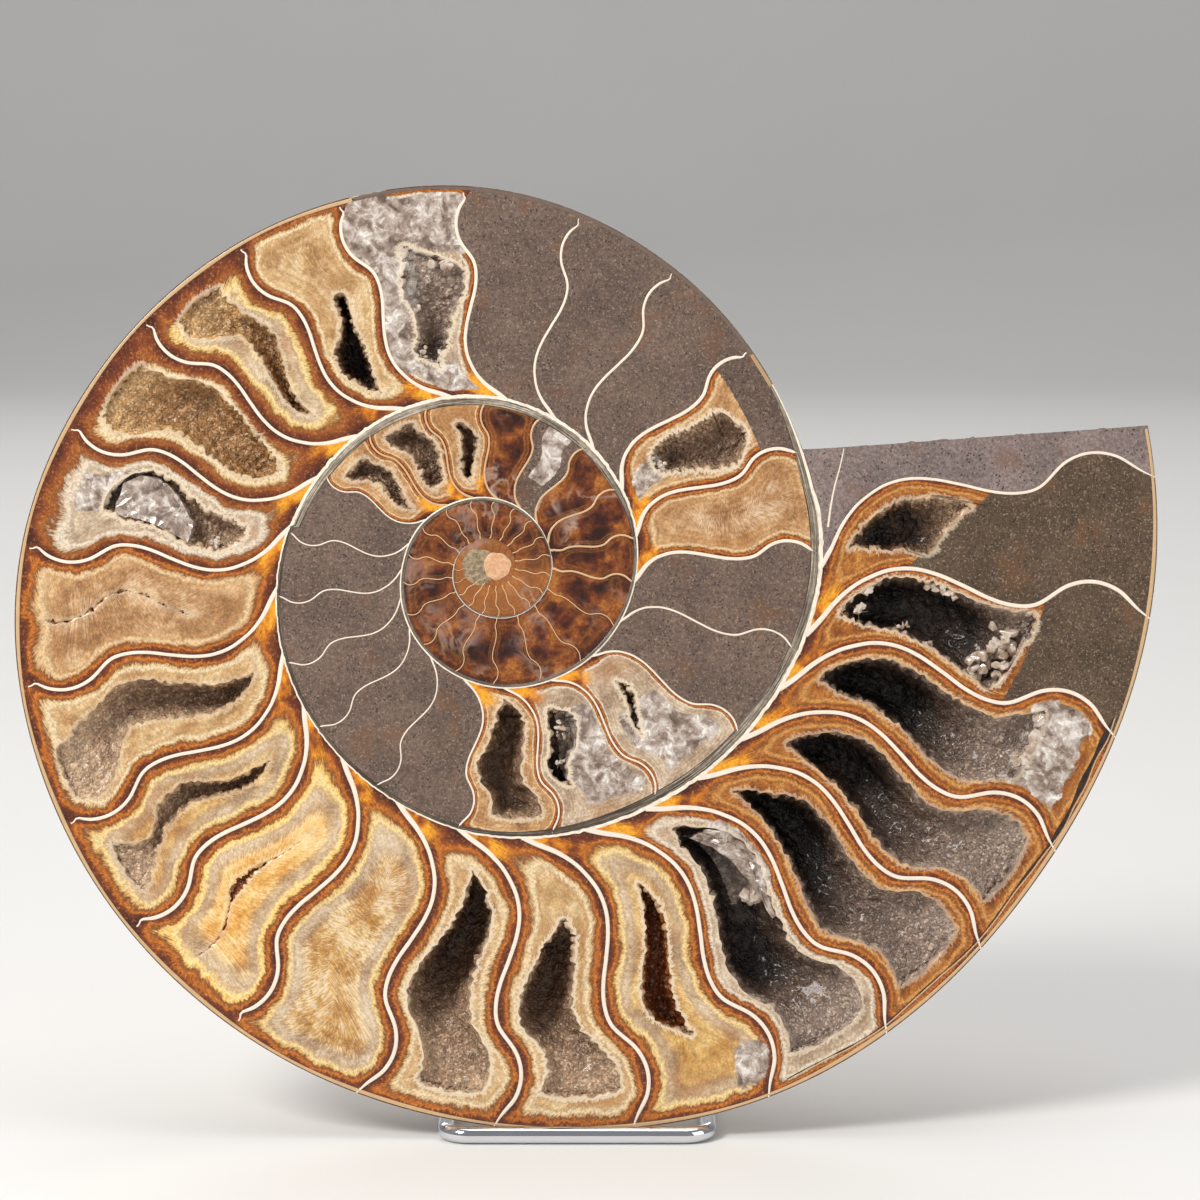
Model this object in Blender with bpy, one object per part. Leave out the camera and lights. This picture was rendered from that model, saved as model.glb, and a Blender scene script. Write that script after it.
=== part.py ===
"""A cut and polished half of a coiled fossil shell, leaning in a bent chrome rod stand.

Units are metres, +Z is up, and the cut face looks toward -Y.
Points of the shell are worked out on the cut face first, as right and up from the middle of
the stand's front bar and depth behind the face, and then tipped back into the stand.
"""

import math
import random

import bmesh
import bpy
from mathutils import Vector

MM = 0.001

# Driving dimensions, in millimetres and degrees.
# Radius of the spiral shell wall, read every 30 degrees.
WALL_START = -900.0
WALL_STEP = 30.0
WALL_RADII = (
    7.6, 8.4, 9.1, 9.8, 10.7, 11.4,
    11.9, 12.2, 12.8, 13.7, 14.8, 16.4, 17.7, 19.7, 21.6, 23.5, 25.2, 27.1,
    28.7, 30.2, 31.8, 34.1, 36.4, 39.0, 42.4, 45.8, 49.2, 53.4, 56.8, 61.2,
    65.8, 66.9, 70.4, 75.9, 81.0, 87.2, 94.8, 100.0, 105.4, 111.6, 120.0, 125.4,
    132.8, 135.4,
)
SPIRAL_RIGHT = -17.0
SPIRAL_UP = 114.4
SHELL_END = 372.4
LEAN = 8.0
FACE_BACK = 2.6

# Half thickness of the shell as a share of its radius. The flank is thickest at FLANK_TOP, a
# share of the radius, and falls from there to the rim and to the seam in the umbilicus.
FLANK = 0.2
FLANK_TOP = 0.5
RIM_FALL = 2.2
RIM_ROUNDNESS = 0.65
SHOULDER = 0.36
SHOULDER_FALL = 0.15
SEAM = 0.3
SEAM_RISE = 0.82
RIM_DEPTH = 0.12
SEAM_STEPS = (SEAM, 0.322, SHOULDER, 0.43, 0.52)
FLANK_STEPS = (0.62, 0.72, 0.81, 0.88, 0.94, 0.98, 1.0)
# Flank points this near to the next turn's seam are left out.
SEAM_CLEARANCE = 1.04
COLUMNS_PER_TURN = 60
INNER_TURNS = 2

# The broken mouth of the shell is one straight line on the face, from the rim inward.
MOUTH_RIM = (113.2, 142.8)
MOUTH_INNER = (48.6, 138.2)
MOUTH_REACH = 60.0

# Each chamber wall starts at its tip angle on the outer wall and follows one S curve inward:
# the share of the chamber's height and the angle from the tip.
SEPTUM_CURVE = (
    (0.00, -8.5), (0.03, -6.2), (0.08, -2.2), (0.14, 0.6), (0.20, 2.2), (0.27, 3.3),
    (0.35, 3.5), (0.43, 2.8), (0.52, 1.4), (0.60, 0.1), (0.67, -0.5), (0.73, -0.2),
    (0.80, 1.8), (0.86, 2.3), (0.92, 1.6), (0.97, 0.0), (1.00, -0.8),
)
BULGE_SPAN = 0.78
# Tip angle, and how many degrees flatter than the common curve the wall bulges.
FLATTER_SEPTA = (
    (-320, 0.8), (-248, 0.9), (-227, 1.9), (-209, 0.4), (-190, 0.0), (-110, 0.0), (-76, 0.6),
    (-54, 1.7), (-10, 1.9), (60, 1.5), (76, 0.8), (94, 0.5), (115, 0.0),
)

# Open hollows: tip angles of the walls on both sides, depth, crust thickness, and rows of
# the share of the chamber's height with the hollow's two sides as shares of its length.
HOLLOWS = (
    (-268.0, -248.0, 4.5, 0.6, (
        (0.26, 0.44, 0.52), (0.33, 0.36, 0.62), (0.45, 0.32, 0.66), (0.58, 0.27, 0.65),
        (0.70, 0.24, 0.61), (0.81, 0.34, 0.53))),
    (-248.0, -227.7, 4.5, 0.6, (
        (0.29, 0.50, 0.62), (0.34, 0.22, 0.67), (0.45, 0.16, 0.74), (0.58, 0.15, 0.73),
        (0.72, 0.15, 0.75), (0.89, 0.19, 0.77))),
    (-227.7, -209.2, 4.0, 0.6, (
        (0.25, 0.45, 0.52), (0.34, 0.38, 0.62), (0.46, 0.32, 0.65), (0.60, 0.27, 0.63),
        (0.72, 0.25, 0.68), (0.86, 0.24, 0.76))),
    (-96.7, -76.7, 8.0, 0.8, (
        (0.14, 0.56, 0.64), (0.22, 0.34, 0.74), (0.34, 0.21, 0.78), (0.48, 0.18, 0.79),
        (0.62, 0.12, 0.77), (0.76, 0.22, 0.78), (0.90, 0.22, 0.82))),
    (-76.7, -54.5, 6.0, 0.8, (
        (0.26, 0.24, 0.38), (0.33, 0.17, 0.55), (0.44, 0.18, 0.61), (0.55, 0.17, 0.53),
        (0.64, 0.12, 0.40), (0.76, 0.20, 0.28))),
    (-54.5, -33.7, 3.5, 0.5, (
        (0.31, 0.46, 0.52), (0.38, 0.43, 0.59), (0.47, 0.42, 0.56), (0.57, 0.35, 0.46),
        (0.66, 0.34, 0.38))),
    (20.9, 39.6, 5.5, 1.2, (
        (0.31, 0.36, 0.66), (0.42, 0.27, 0.80), (0.55, 0.24, 0.81), (0.67, 0.14, 0.80),
        (0.75, 0.14, 0.72), (0.80, 0.18, 0.40))),
    (93.7, 112.2, 7.0, 1.0, (
        (0.22, 0.42, 0.50), (0.31, 0.28, 0.67), (0.40, 0.20, 0.61), (0.50, 0.17, 0.64),
        (0.60, 0.12, 0.77), (0.70, 0.15, 0.73), (0.78, 0.45, 0.62))),
    (112.2, 127.6, 9.0, 0.7, (
        (0.17, 0.54, 0.62), (0.25, 0.40, 0.70), (0.36, 0.31, 0.77), (0.47, 0.33, 0.75),
        (0.54, 0.41, 0.60), (0.67, 0.42, 0.58))),
    (127.6, 144.2, 6.0, 0.8, (
        (0.27, 0.50, 0.55), (0.36, 0.48, 0.62), (0.50, 0.45, 0.63), (0.64, 0.36, 0.63),
        (0.75, 0.33, 0.61), (0.83, 0.27, 0.76), (0.91, 0.28, 0.76))),
    (144.2, 161.1, 6.5, 1.4, (
        (0.21, 0.50, 0.57), (0.28, 0.30, 0.67), (0.40, 0.19, 0.74), (0.56, 0.19, 0.77),
        (0.72, 0.20, 0.78), (0.84, 0.18, 0.81), (0.91, 0.22, 0.79))),
    (161.1, 176.9, 5.0, 1.4, (
        (0.24, 0.40, 0.66), (0.33, 0.30, 0.75), (0.46, 0.27, 0.77), (0.60, 0.22, 0.76),
        (0.72, 0.23, 0.75), (0.78, 0.30, 0.60))),
    (193.7, 210.6, 8.0, 1.2, (
        (0.20, 0.46, 0.54), (0.28, 0.38, 0.60), (0.42, 0.30, 0.64), (0.58, 0.27, 0.65),
        (0.72, 0.24, 0.63), (0.84, 0.24, 0.82), (0.93, 0.42, 0.85))),
    (210.6, 224.6, 6.0, 0.8, (
        (0.31, 0.46, 0.53), (0.38, 0.42, 0.58), (0.48, 0.43, 0.60), (0.60, 0.33, 0.57),
        (0.72, 0.34, 0.58), (0.80, 0.40, 0.56), (0.90, 0.23, 0.75))),
    (256.3, 271.0, 13.0, 1.0, (
        (0.20, 0.53, 0.58), (0.28, 0.38, 0.65), (0.40, 0.30, 0.71), (0.54, 0.23, 0.72),
        (0.68, 0.20, 0.77), (0.82, 0.22, 0.77), (0.915, 0.24, 0.75))),
    (271.0, 284.9, 11.0, 1.0, (
        (0.38, 0.45, 0.56), (0.46, 0.32, 0.66), (0.58, 0.24, 0.71), (0.70, 0.21, 0.72),
        (0.80, 0.24, 0.75), (0.90, 0.16, 0.80))),
    (284.9, 298.4, 9.0, 0.8, (
        (0.30, 0.45, 0.52), (0.40, 0.42, 0.62), (0.52, 0.41, 0.65), (0.64, 0.36, 0.65),
        (0.74, 0.38, 0.60), (0.78, 0.44, 0.52))),
    (298.4, 311.1, 14.0, 1.6, (
        (0.15, 0.42, 0.60), (0.23, 0.25, 0.76), (0.36, 0.21, 0.83), (0.50, 0.21, 0.84),
        (0.66, 0.21, 0.85), (0.80, 0.17, 0.84), (0.92, 0.12, 0.81))),
    (311.1, 322.9, 15.0, 1.0, (
        (0.16, 0.42, 0.50), (0.25, 0.26, 0.60), (0.36, 0.19, 0.73), (0.50, 0.18, 0.80),
        (0.66, 0.17, 0.83), (0.80, 0.17, 0.83), (0.925, 0.14, 0.81))),
    (322.9, 334.1, 15.0, 1.0, (
        (0.18, 0.38, 0.55), (0.26, 0.21, 0.68), (0.38, 0.15, 0.80), (0.52, 0.17, 0.83),
        (0.66, 0.16, 0.83), (0.80, 0.14, 0.82), (0.925, 0.14, 0.81))),
    (334.1, 345.6, 15.0, 1.0, (
        (0.15, 0.52, 0.72), (0.24, 0.27, 0.78), (0.38, 0.21, 0.82), (0.52, 0.21, 0.84),
        (0.66, 0.20, 0.87), (0.76, 0.16, 0.84), (0.82, 0.13, 0.80))),
    (345.6, 356.4, 13.0, 1.4, (
        (0.13, 0.60, 0.80), (0.22, 0.28, 0.87), (0.34, 0.18, 0.88), (0.48, 0.16, 0.90),
        (0.60, 0.15, 0.93), (0.68, 0.16, 0.94), (0.72, 0.62, 0.93))),
    (356.4, 368.6, 9.0, 1.0, (
        (0.13, 0.55, 0.66), (0.22, 0.30, 0.73), (0.31, 0.22, 0.76), (0.40, 0.19, 0.79),
        (0.46, 0.48, 0.81), (0.52, 0.75, 0.83))),
)
# A hollow reaches no deeper than this share of the shell's depth behind it.
HOLLOW_DEPTH_LIMIT = 0.72
CUTTER_PROUD = 1.0
CRUST_GAP = 0.5
CRUST_SUNK = 0.4
LIP_STEP = 0.3

# Rings of a hollow from the face down: how far each is drawn in toward the middle line, and
# its depth, both as shares. The crust has a back, behind its crystals, and a front.
HOLLOW_WAIST = (0.1, 0.55)
HOLLOW_FLOOR = (0.4, 0.94)
CRUST_RIM_INSET = 0.05
CRUST_BACK_WAIST = (0.15, 0.5)
CRUST_BACK_FLOOR = (0.45, 0.9)
CRUST_BANK = (0.15, 0.45)
CRUST_BED = (0.5, 0.82)
CRUST_CREST_DEPTH = 0.94
INSET_LIMIT = 0.8
SPINE_INSET = 0.3

# The stand is one closed loop of rod: front bar, side runs, uprights and back bar.
ROD = 3.4
ROD_SIDES = 8
BAR_LENGTH = 56.0
CORNER = 5.0
RUN_END = 64.0
REST_BACK = 39.3
REST_UP = 80.0
FOOT_BEND = 8.0
BEND_SEGMENTS = 5

# Moves the origin from the middle of the front bar to the middle of the whole footprint.
ORIGIN_RIGHT = 1.75
ORIGIN_BACK = 30.53


def clear_scene():
    for old in list(bpy.data.objects):
        bpy.data.objects.remove(old)


def finish_material(name, colour, roughness, metallic=0.0):
    material = bpy.data.materials.new(name)
    material.use_nodes = True
    shader = material.node_tree.nodes["Principled BSDF"]
    shader.inputs["Base Color"].default_value = (*colour, 1.0)
    shader.inputs["Roughness"].default_value = roughness
    shader.inputs["Metallic"].default_value = metallic
    return material


def curve_value(points, x):
    """Smooth value at x along a list of (x, value) pairs with Hermite slopes."""
    x = min(max(x, points[0][0]), points[-1][0])
    i = 0
    while i < len(points) - 2 and x > points[i + 1][0]:
        i += 1

    def slope(j):
        a, b = max(j - 1, 0), min(j + 1, len(points) - 1)
        return (points[b][1] - points[a][1]) / (points[b][0] - points[a][0])

    (x0, y0), (x1, y1) = points[i], points[i + 1]
    h = x1 - x0
    t = (x - x0) / h
    start = (2 * t**3 - 3 * t**2 + 1) * y0 + (t**3 - 2 * t**2 + t) * h * slope(i)
    end = (3 * t**2 - 2 * t**3) * y1 + (t**3 - t**2) * h * slope(i + 1)
    return start + end


WALL_LOGS = [(WALL_START + WALL_STEP * i, math.log(r)) for i, r in enumerate(WALL_RADII)]


def wall_log(angle):
    return curve_value(WALL_LOGS, angle)


def wall_radius(angle):
    return math.exp(wall_log(angle))


def polar_point(angle, radius):
    """Right and up on the cut face for an angle and radius about the spiral's centre."""
    a = math.radians(angle)
    return Vector((SPIRAL_RIGHT + radius * math.cos(a), SPIRAL_UP + radius * math.sin(a)))


def in_world(right, up, depth):
    """Tips a point of the face back by the lean and gives it in metres."""
    lean = math.radians(LEAN)
    y = FACE_BACK + up * math.sin(lean) + depth * math.cos(lean)
    z = up * math.cos(lean) - depth * math.sin(lean)
    return Vector((right - ORIGIN_RIGHT, y - ORIGIN_BACK, z)) * MM


def flank_height(share):
    """Depth of the back surface as a share of the half thickness, by share of the radius."""
    if share >= FLANK_TOP:
        outward = (share - FLANK_TOP) / (1.0 - FLANK_TOP)
        return (1.0 - outward ** RIM_FALL) ** RIM_ROUNDNESS if share < 1.0 else 0.0
    inward = (FLANK_TOP - share) / (FLANK_TOP - SHOULDER)
    return 1.0 - SHOULDER_FALL * inward**2


def back_depth(angle, radius):
    """Depth of the shell behind the face at an angle from 0 to 360 and a radius."""
    turn = angle + 360.0 if angle + 360.0 <= SHELL_END else angle
    while turn > WALL_START + 360.0:
        outer = wall_radius(turn)
        if radius >= SHOULDER * outer:
            return FLANK * outer * max(flank_height(min(radius / outer, 1.0)), RIM_DEPTH)
        turn -= 360.0
    return FLANK * wall_radius(turn)


def mouth_angle(radius):
    """Angle at which the straight mouth line lies at a radius about the spiral's centre."""
    start = Vector(MOUTH_RIM) - Vector((SPIRAL_RIGHT, SPIRAL_UP))
    along = Vector(MOUTH_INNER) - Vector(MOUTH_RIM)
    along.normalize()
    middle = -start.dot(along)
    closest = start + along * middle
    reach = math.sqrt(max(radius * radius - closest.length_squared, 0.0))
    point = closest - along * reach
    return math.degrees(math.atan2(point.y, point.x))


def mouth_shift(angle, radius):
    """Turns the columns near the mouth so that one of them lies along the mouth line."""
    away = abs((angle - SHELL_END + 180.0) % 360.0 - 180.0)
    weight = max(0.0, 1.0 - away / MOUTH_REACH)
    weight = weight * weight * (3.0 - 2.0 * weight)
    inner = SEAM * wall_radius(SHELL_END)
    shift = mouth_angle(max(radius, inner)) - (SHELL_END - 360.0)
    return weight * shift * min(1.0, radius / inner)


class ShellMesh:
    """The back of the shell as strips of flank, one column of points per step of angle."""

    def __init__(self):
        self.mesh = bmesh.new()
        self.step = 360.0 / COLUMNS_PER_TURN
        self.last = INNER_TURNS * COLUMNS_PER_TURN + COLUMNS_PER_TURN
        self.seams = {}
        self.columns = []

    def angle(self, i):
        return SHELL_END + (i - self.last) * self.step

    def vertex(self, angle, radius, depth):
        turned = polar_point(angle + mouth_shift(angle, radius), radius)
        return self.mesh.verts.new(in_world(turned.x, turned.y, depth))

    def seam_vertex(self, i):
        if i not in self.seams:
            angle = self.angle(i)
            radius = SEAM * wall_radius(angle)
            inner = wall_radius(angle - 360.0)
            depth = FLANK * inner * flank_height(min(radius / inner, 0.99))
            self.seams[i] = self.vertex(angle, radius, depth)
        return self.seams[i]

    def column(self, i):
        """Points from the seam outward, as far as the next turn's seam or the rim."""
        angle = self.angle(i)
        outer = wall_radius(angle)
        points = [self.seam_vertex(i)]
        for share in SEAM_STEPS[1:]:
            rise = flank_height(max(share, SHOULDER))
            if share < SHOULDER:
                rise *= SEAM_RISE
            points.append(self.vertex(angle, share * outer, FLANK * outer * rise))
        if i + COLUMNS_PER_TURN <= self.last:
            points.append(self.seam_vertex(i + COLUMNS_PER_TURN))
        if i >= self.last - COLUMNS_PER_TURN:
            for share in FLANK_STEPS:
                if points[-1] in self.seams.values() and share * outer < self.seam_limit(i):
                    continue
                rise = max(flank_height(share), RIM_DEPTH)
                points.append(self.vertex(angle, share * outer, FLANK * outer * rise))
            points.append(self.vertex(angle, outer, 0.0))
        return points

    def seam_limit(self, i):
        return SEAM_CLEARANCE * SEAM * wall_radius(self.angle(i) + 360.0)

    def build(self):
        turn = COLUMNS_PER_TURN
        self.columns = [self.column(i) for i in range(self.last + 1)]
        for i in range(self.last):
            self.join(self.columns[i], self.columns[i + 1], i)
        outer_start = self.last - turn
        start = self.columns[outer_start]
        end = self.columns[self.last]
        on_seam = start.index(self.seams[self.last])
        self.face([*reversed(start[on_seam + 1:]), *end])
        rim = [self.columns[i][-1] for i in range(outer_start, self.last + 1)]
        self.face(rim)
        centre = [self.seams[i] for i in range(turn + 1)]
        inner = self.columns[0]
        loop = centre + inner[inner.index(self.seams[turn]) - 1:0:-1]
        middle = self.mesh.verts.new(sum((v.co for v in loop), Vector()) / len(loop))
        for a, b in zip(loop, loop[1:] + loop[:1]):
            self.face([a, b, middle])
        bmesh.ops.recalc_face_normals(self.mesh, faces=self.mesh.faces)
        return self.mesh

    def join(self, left, right, i):
        """Bridges two columns, on the outer turn from seam to rim, inside it seam to seam."""
        inside = i < self.last - COLUMNS_PER_TURN
        left = left[:len(SEAM_STEPS) + 1] if inside else left
        right = right[:len(SEAM_STEPS) + 1] if inside else right
        a, b = 0, 0
        while a < len(left) - 1 or b < len(right) - 1:
            if len(left) - a == len(right) - b:
                self.face([left[a], right[b], right[b + 1], left[a + 1]])
                a += 1
                b += 1
            elif len(left) - a > len(right) - b:
                self.face([left[a], right[b], left[a + 1]])
                a += 1
            else:
                self.face([left[a], right[b], right[b + 1]])
                b += 1

    def face(self, vertices):
        self.mesh.faces.new(vertices)


def flatter_by(tip):
    """Degrees by which a chamber wall bulges less than the common curve."""
    if tip <= FLATTER_SEPTA[0][0]:
        return FLATTER_SEPTA[0][1]
    for (x0, y0), (x1, y1) in zip(FLATTER_SEPTA, FLATTER_SEPTA[1:]):
        if tip <= x1:
            return y0 + (y1 - y0) * (tip - x0) / (x1 - x0)
    return FLATTER_SEPTA[-1][1]


def septum_angle(tip, share):
    bulge = math.sin(math.pi * min(share / BULGE_SPAN, 1.0)) ** 2
    return tip + curve_value(SEPTUM_CURVE, share) - flatter_by(tip) * bulge


def chamber_point(before, after, height, length):
    """Face point inside the chamber between two walls, with its angle and radius."""
    angle = (1 - length) * septum_angle(before, height) + length * septum_angle(after, height)
    log = (1 - height) * wall_log(angle - 360.0) + height * wall_log(angle)
    return polar_point(angle, math.exp(log)), angle % 360.0, math.exp(log)


class Hollow:
    """An open chamber as a ladder of rungs: left side, middle and right side of each row."""

    def __init__(self, before, after, depth, crust, rows):
        self.crust = crust
        self.rungs = []
        self.depths = []
        for height, left, right in rows:
            sides = [chamber_point(before, after, height, s) for s in (left, right)]
            middle = (sides[0][0] + sides[1][0]) / 2
            angle, radius = sides[0][1], (sides[0][2] + sides[1][2]) / 2
            self.rungs.append((sides[0][0], middle, sides[1][0]))
            limit = HOLLOW_DEPTH_LIMIT * back_depth(angle, radius)
            self.depths.append(min(depth, limit))

    def ring(self, share, inset):
        """The outline drawn in toward the middle line by a share of its width and an inset."""
        points = []
        last = len(self.rungs) - 1
        for i, rung in enumerate(self.rungs):
            inner_row = self.rungs[min(max(i, 1), last - 1)]
            for side in (0, 2):
                toward = inner_row[1] - rung[side]
                length = max(toward.length, 0.01)
                amount = min(share + inset / length, INSET_LIMIT)
                points.append((rung[side] + toward * amount, self.depths[i]))
        return points

    def spine(self, inset):
        points = []
        last = len(self.rungs) - 1
        for i, rung in enumerate(self.rungs):
            inner_row = self.rungs[min(max(i, 1), last - 1)]
            toward = inner_row[1] - rung[1]
            amount = 0.0
            if i in (0, last):
                amount = min(SPINE_INSET + inset / max(toward.length, 0.01), INSET_LIMIT)
            points.append((rung[1] + toward * amount, self.depths[i]))
        return points


def loop_order(count):
    """Indices around a ladder whose rungs list their left and right points in turn."""
    return [2 * i for i in range(count)] + [2 * i + 1 for i in reversed(range(count))]


def bridge(mesh, lower, upper):
    for i in range(len(lower)):
        j = (i + 1) % len(lower)
        mesh.faces.new((lower[i], lower[j], upper[j]))
        mesh.faces.new((lower[i], upper[j], upper[i]))


def floor_faces(mesh, ring, spine):
    """Closes a ladder ring over its middle line."""
    count = len(spine)
    left = ring[:count]
    right = list(reversed(ring[count:]))
    mesh.faces.new((left[0], spine[0], right[0]))
    mesh.faces.new((left[-1], right[-1], spine[-1]))
    for i in range(count - 1):
        for a, b, c, d in ((left[i], left[i + 1], spine[i + 1], spine[i]),
                           (spine[i], spine[i + 1], right[i + 1], right[i])):
            mesh.faces.new((a, b, c))
            mesh.faces.new((a, c, d))


def ring_vertices(mesh, hollow, points, depth_of):
    order = loop_order(len(hollow.rungs))
    made = []
    for i in order:
        place, limit = points[i]
        made.append(mesh.verts.new(in_world(place.x, place.y, depth_of(limit))))
    return made


def spine_vertices(mesh, points, depth_of):
    return [mesh.verts.new(in_world(p.x, p.y, depth_of(limit))) for p, limit in points]


def add_cutter(mesh, hollow):
    """The empty space of one hollow, from just in front of the face down to its floor."""
    top = ring_vertices(mesh, hollow, hollow.ring(0.0, 0.0), lambda d: -CUTTER_PROUD)
    inset, deep = HOLLOW_WAIST
    waist = ring_vertices(mesh, hollow, hollow.ring(inset, 0.0), lambda d: deep * d)
    floor_inset, floor_deep = HOLLOW_FLOOR
    floor = ring_vertices(
        mesh, hollow, hollow.ring(floor_inset, 0.0), lambda d: floor_deep * d)
    spine = spine_vertices(mesh, hollow.spine(0.0), lambda d: d)
    lid = [mesh.verts.new(in_world(p.x, p.y, -CUTTER_PROUD)) for p, _ in hollow.spine(0.0)]
    bridge(mesh, top, waist)
    bridge(mesh, waist, floor)
    floor_faces(mesh, floor, spine)
    floor_faces(mesh, top, lid)


def add_crust(mesh, hollow, dice):
    """A crust of crystals inside a hollow: a smooth back and a lumpy front."""
    gap = CRUST_GAP
    thick = hollow.crust

    def back_ring(shares):
        inset, deep = shares
        return ring_vertices(mesh, hollow, hollow.ring(inset, gap), lambda d: deep * d - gap)

    def front_ring(shares, sunk, size):
        inset, deep = shares
        return ring_vertices(
            mesh, hollow, hollow.ring(inset, gap + thick),
            lambda d: deep * d - gap - sunk * thick - dice.uniform(-0.35, 1.0) * size * thick)

    rim = ring_vertices(mesh, hollow, hollow.ring(CRUST_RIM_INSET, gap), lambda d: CRUST_SUNK)
    waist = back_ring(CRUST_BACK_WAIST)
    floor = back_ring(CRUST_BACK_FLOOR)
    spine = spine_vertices(mesh, hollow.spine(gap), lambda d: CRUST_CREST_DEPTH * d - gap)
    lip = ring_vertices(
        mesh, hollow, hollow.ring(CRUST_RIM_INSET, gap + 0.5 * thick),
        lambda d: CRUST_SUNK + LIP_STEP)
    bank = front_ring(CRUST_BANK, 0.4, 0.5)
    bed = front_ring(CRUST_BED, 0.8, 1.0)
    crest = spine_vertices(
        mesh, hollow.spine(gap + 0.3 * thick),
        lambda d: CRUST_CREST_DEPTH * d - gap - 0.9 * thick - dice.uniform(-0.35, 1.0) * thick)
    bridge(mesh, rim, waist)
    bridge(mesh, waist, floor)
    floor_faces(mesh, floor, spine)
    bridge(mesh, lip, rim)
    bridge(mesh, bank, lip)
    bridge(mesh, bed, bank)
    floor_faces(mesh, bed, crest)


def named_object(name, mesh, material=None):
    bmesh.ops.triangulate(mesh, faces=[f for f in mesh.faces if len(f.verts) == 4])
    bmesh.ops.recalc_face_normals(mesh, faces=mesh.faces)
    data = bpy.data.meshes.new(name)
    mesh.to_mesh(data)
    mesh.free()
    thing = bpy.data.objects.new(name, data)
    bpy.context.scene.collection.objects.link(thing)
    if material:
        data.materials.append(material)
    return thing


def make_ammonite(hollows, material):
    shell = named_object("ammonite", ShellMesh().build(), material)
    cuts = bmesh.new()
    for hollow in hollows:
        add_cutter(cuts, hollow)
    cutter = named_object("hollow_cutter", cuts)
    cutter.hide_render = True
    cutter.display_type = "WIRE"
    carve = shell.modifiers.new("hollows", "BOOLEAN")
    carve.operation = "DIFFERENCE"
    carve.solver = "EXACT"
    carve.object = cutter
    return shell


def make_crusts(hollows, material):
    dice = random.Random(7)
    for number, hollow in enumerate(hollows, start=1):
        mesh = bmesh.new()
        add_crust(mesh, hollow, dice)
        named_object(f"crystal_crust_{number:02d}", mesh, material)


def arc(centre, start_axis, end_axis, radius):
    """Points and tangents along a quarter turn or less, between two directions."""
    turn = start_axis.angle(end_axis)
    across = (end_axis - start_axis * start_axis.dot(end_axis)).normalized()
    points = []
    for i in range(BEND_SEGMENTS + 1):
        a = turn * i / BEND_SEGMENTS
        points.append(centre + radius * (start_axis * math.cos(a) + across * math.sin(a)))
    return points


def stand_path():
    """Half of the rod's loop, from the middle of the front bar to the middle of the back bar.

    Each entry is a point and the direction that is the rod's local up there.
    """
    half = BAR_LENGTH / 2 - ROD / 2
    low = ROD / 2
    up = Vector((0, 0, 1))
    back = Vector((0, 1, 0))
    right = Vector((1, 0, 0))
    path = [(Vector((0, 0, low)), up)]
    corner = Vector((half - CORNER, CORNER, low))
    path += [(p, up) for p in arc(corner, -back, right, CORNER)]
    rise = Vector((0, REST_BACK - RUN_END, REST_UP - low)).normalized()
    out = Vector((0, rise.z, -rise.y))
    foot = Vector((half, RUN_END - FOOT_BEND * math.tan(back.angle(rise) / 2), low + FOOT_BEND))
    for p in arc(foot, -up, out, FOOT_BEND):
        path.append((p, (foot - p).normalized()))
    top = Vector((half - CORNER, REST_BACK, REST_UP)) - rise * CORNER
    path += [(p, -out) for p in arc(top, right, rise, CORNER)]
    path.append((Vector((0, REST_BACK, REST_UP)), -out))
    return path


def make_stand(material):
    half = stand_path()
    mirrored = [(Vector((-p.x, p.y, p.z)), up) for p, up in reversed(half[1:-1])]
    loop = half + mirrored
    mesh = bmesh.new()
    rings = []
    for i, (point, up) in enumerate(loop):
        before = loop[i - 1][0]
        after = loop[(i + 1) % len(loop)][0]
        side = (after - before).normalized().cross(up).normalized()
        reach = ROD / 2 / math.cos(math.pi / ROD_SIDES)
        ring = []
        for k in range(ROD_SIDES):
            a = 2 * math.pi * (k + 0.5) / ROD_SIDES
            place = point + reach * (up * math.cos(a) + side * math.sin(a))
            shifted = place - Vector((ORIGIN_RIGHT, ORIGIN_BACK, 0))
            ring.append(mesh.verts.new(shifted * MM))
        rings.append(ring)
    for ring, following in zip(rings, rings[1:] + rings[:1]):
        bridge(mesh, ring, following)
    stand = named_object("display_stand", mesh, material)
    stand.data.shade_smooth()
    stand.data.set_sharp_from_angle(angle=math.radians(50))
    return stand


def main():
    clear_scene()
    stone = finish_material("fossil_stone", (0.36, 0.22, 0.12), 0.3)
    crystal = finish_material("crystal", (0.55, 0.48, 0.4), 0.5)
    chrome = finish_material("chrome", (0.75, 0.76, 0.78), 0.08, 1.0)
    hollows = [Hollow(*numbers) for numbers in HOLLOWS]
    make_ammonite(hollows, stone)
    make_crusts(hollows, crystal)
    make_stand(chrome)


main()
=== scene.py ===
"""Looks of a cut and polished fossil shell half in its rod stand, built around the frame.

The cut face is a flat plane that leans back. Points on it are worked out in millimetres as
right and up from the middle of the stand's front bar and depth behind the face.
A chamber lies between two chamber walls and two turns of the spiral wall. Inside it, s runs
from one chamber wall (0) to the next (1) and u from the inner turn (0) to the outer (1).
"""
import math

import bmesh
import bpy
import numpy as np
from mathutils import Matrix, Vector
from mathutils.kdtree import KDTree


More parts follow.
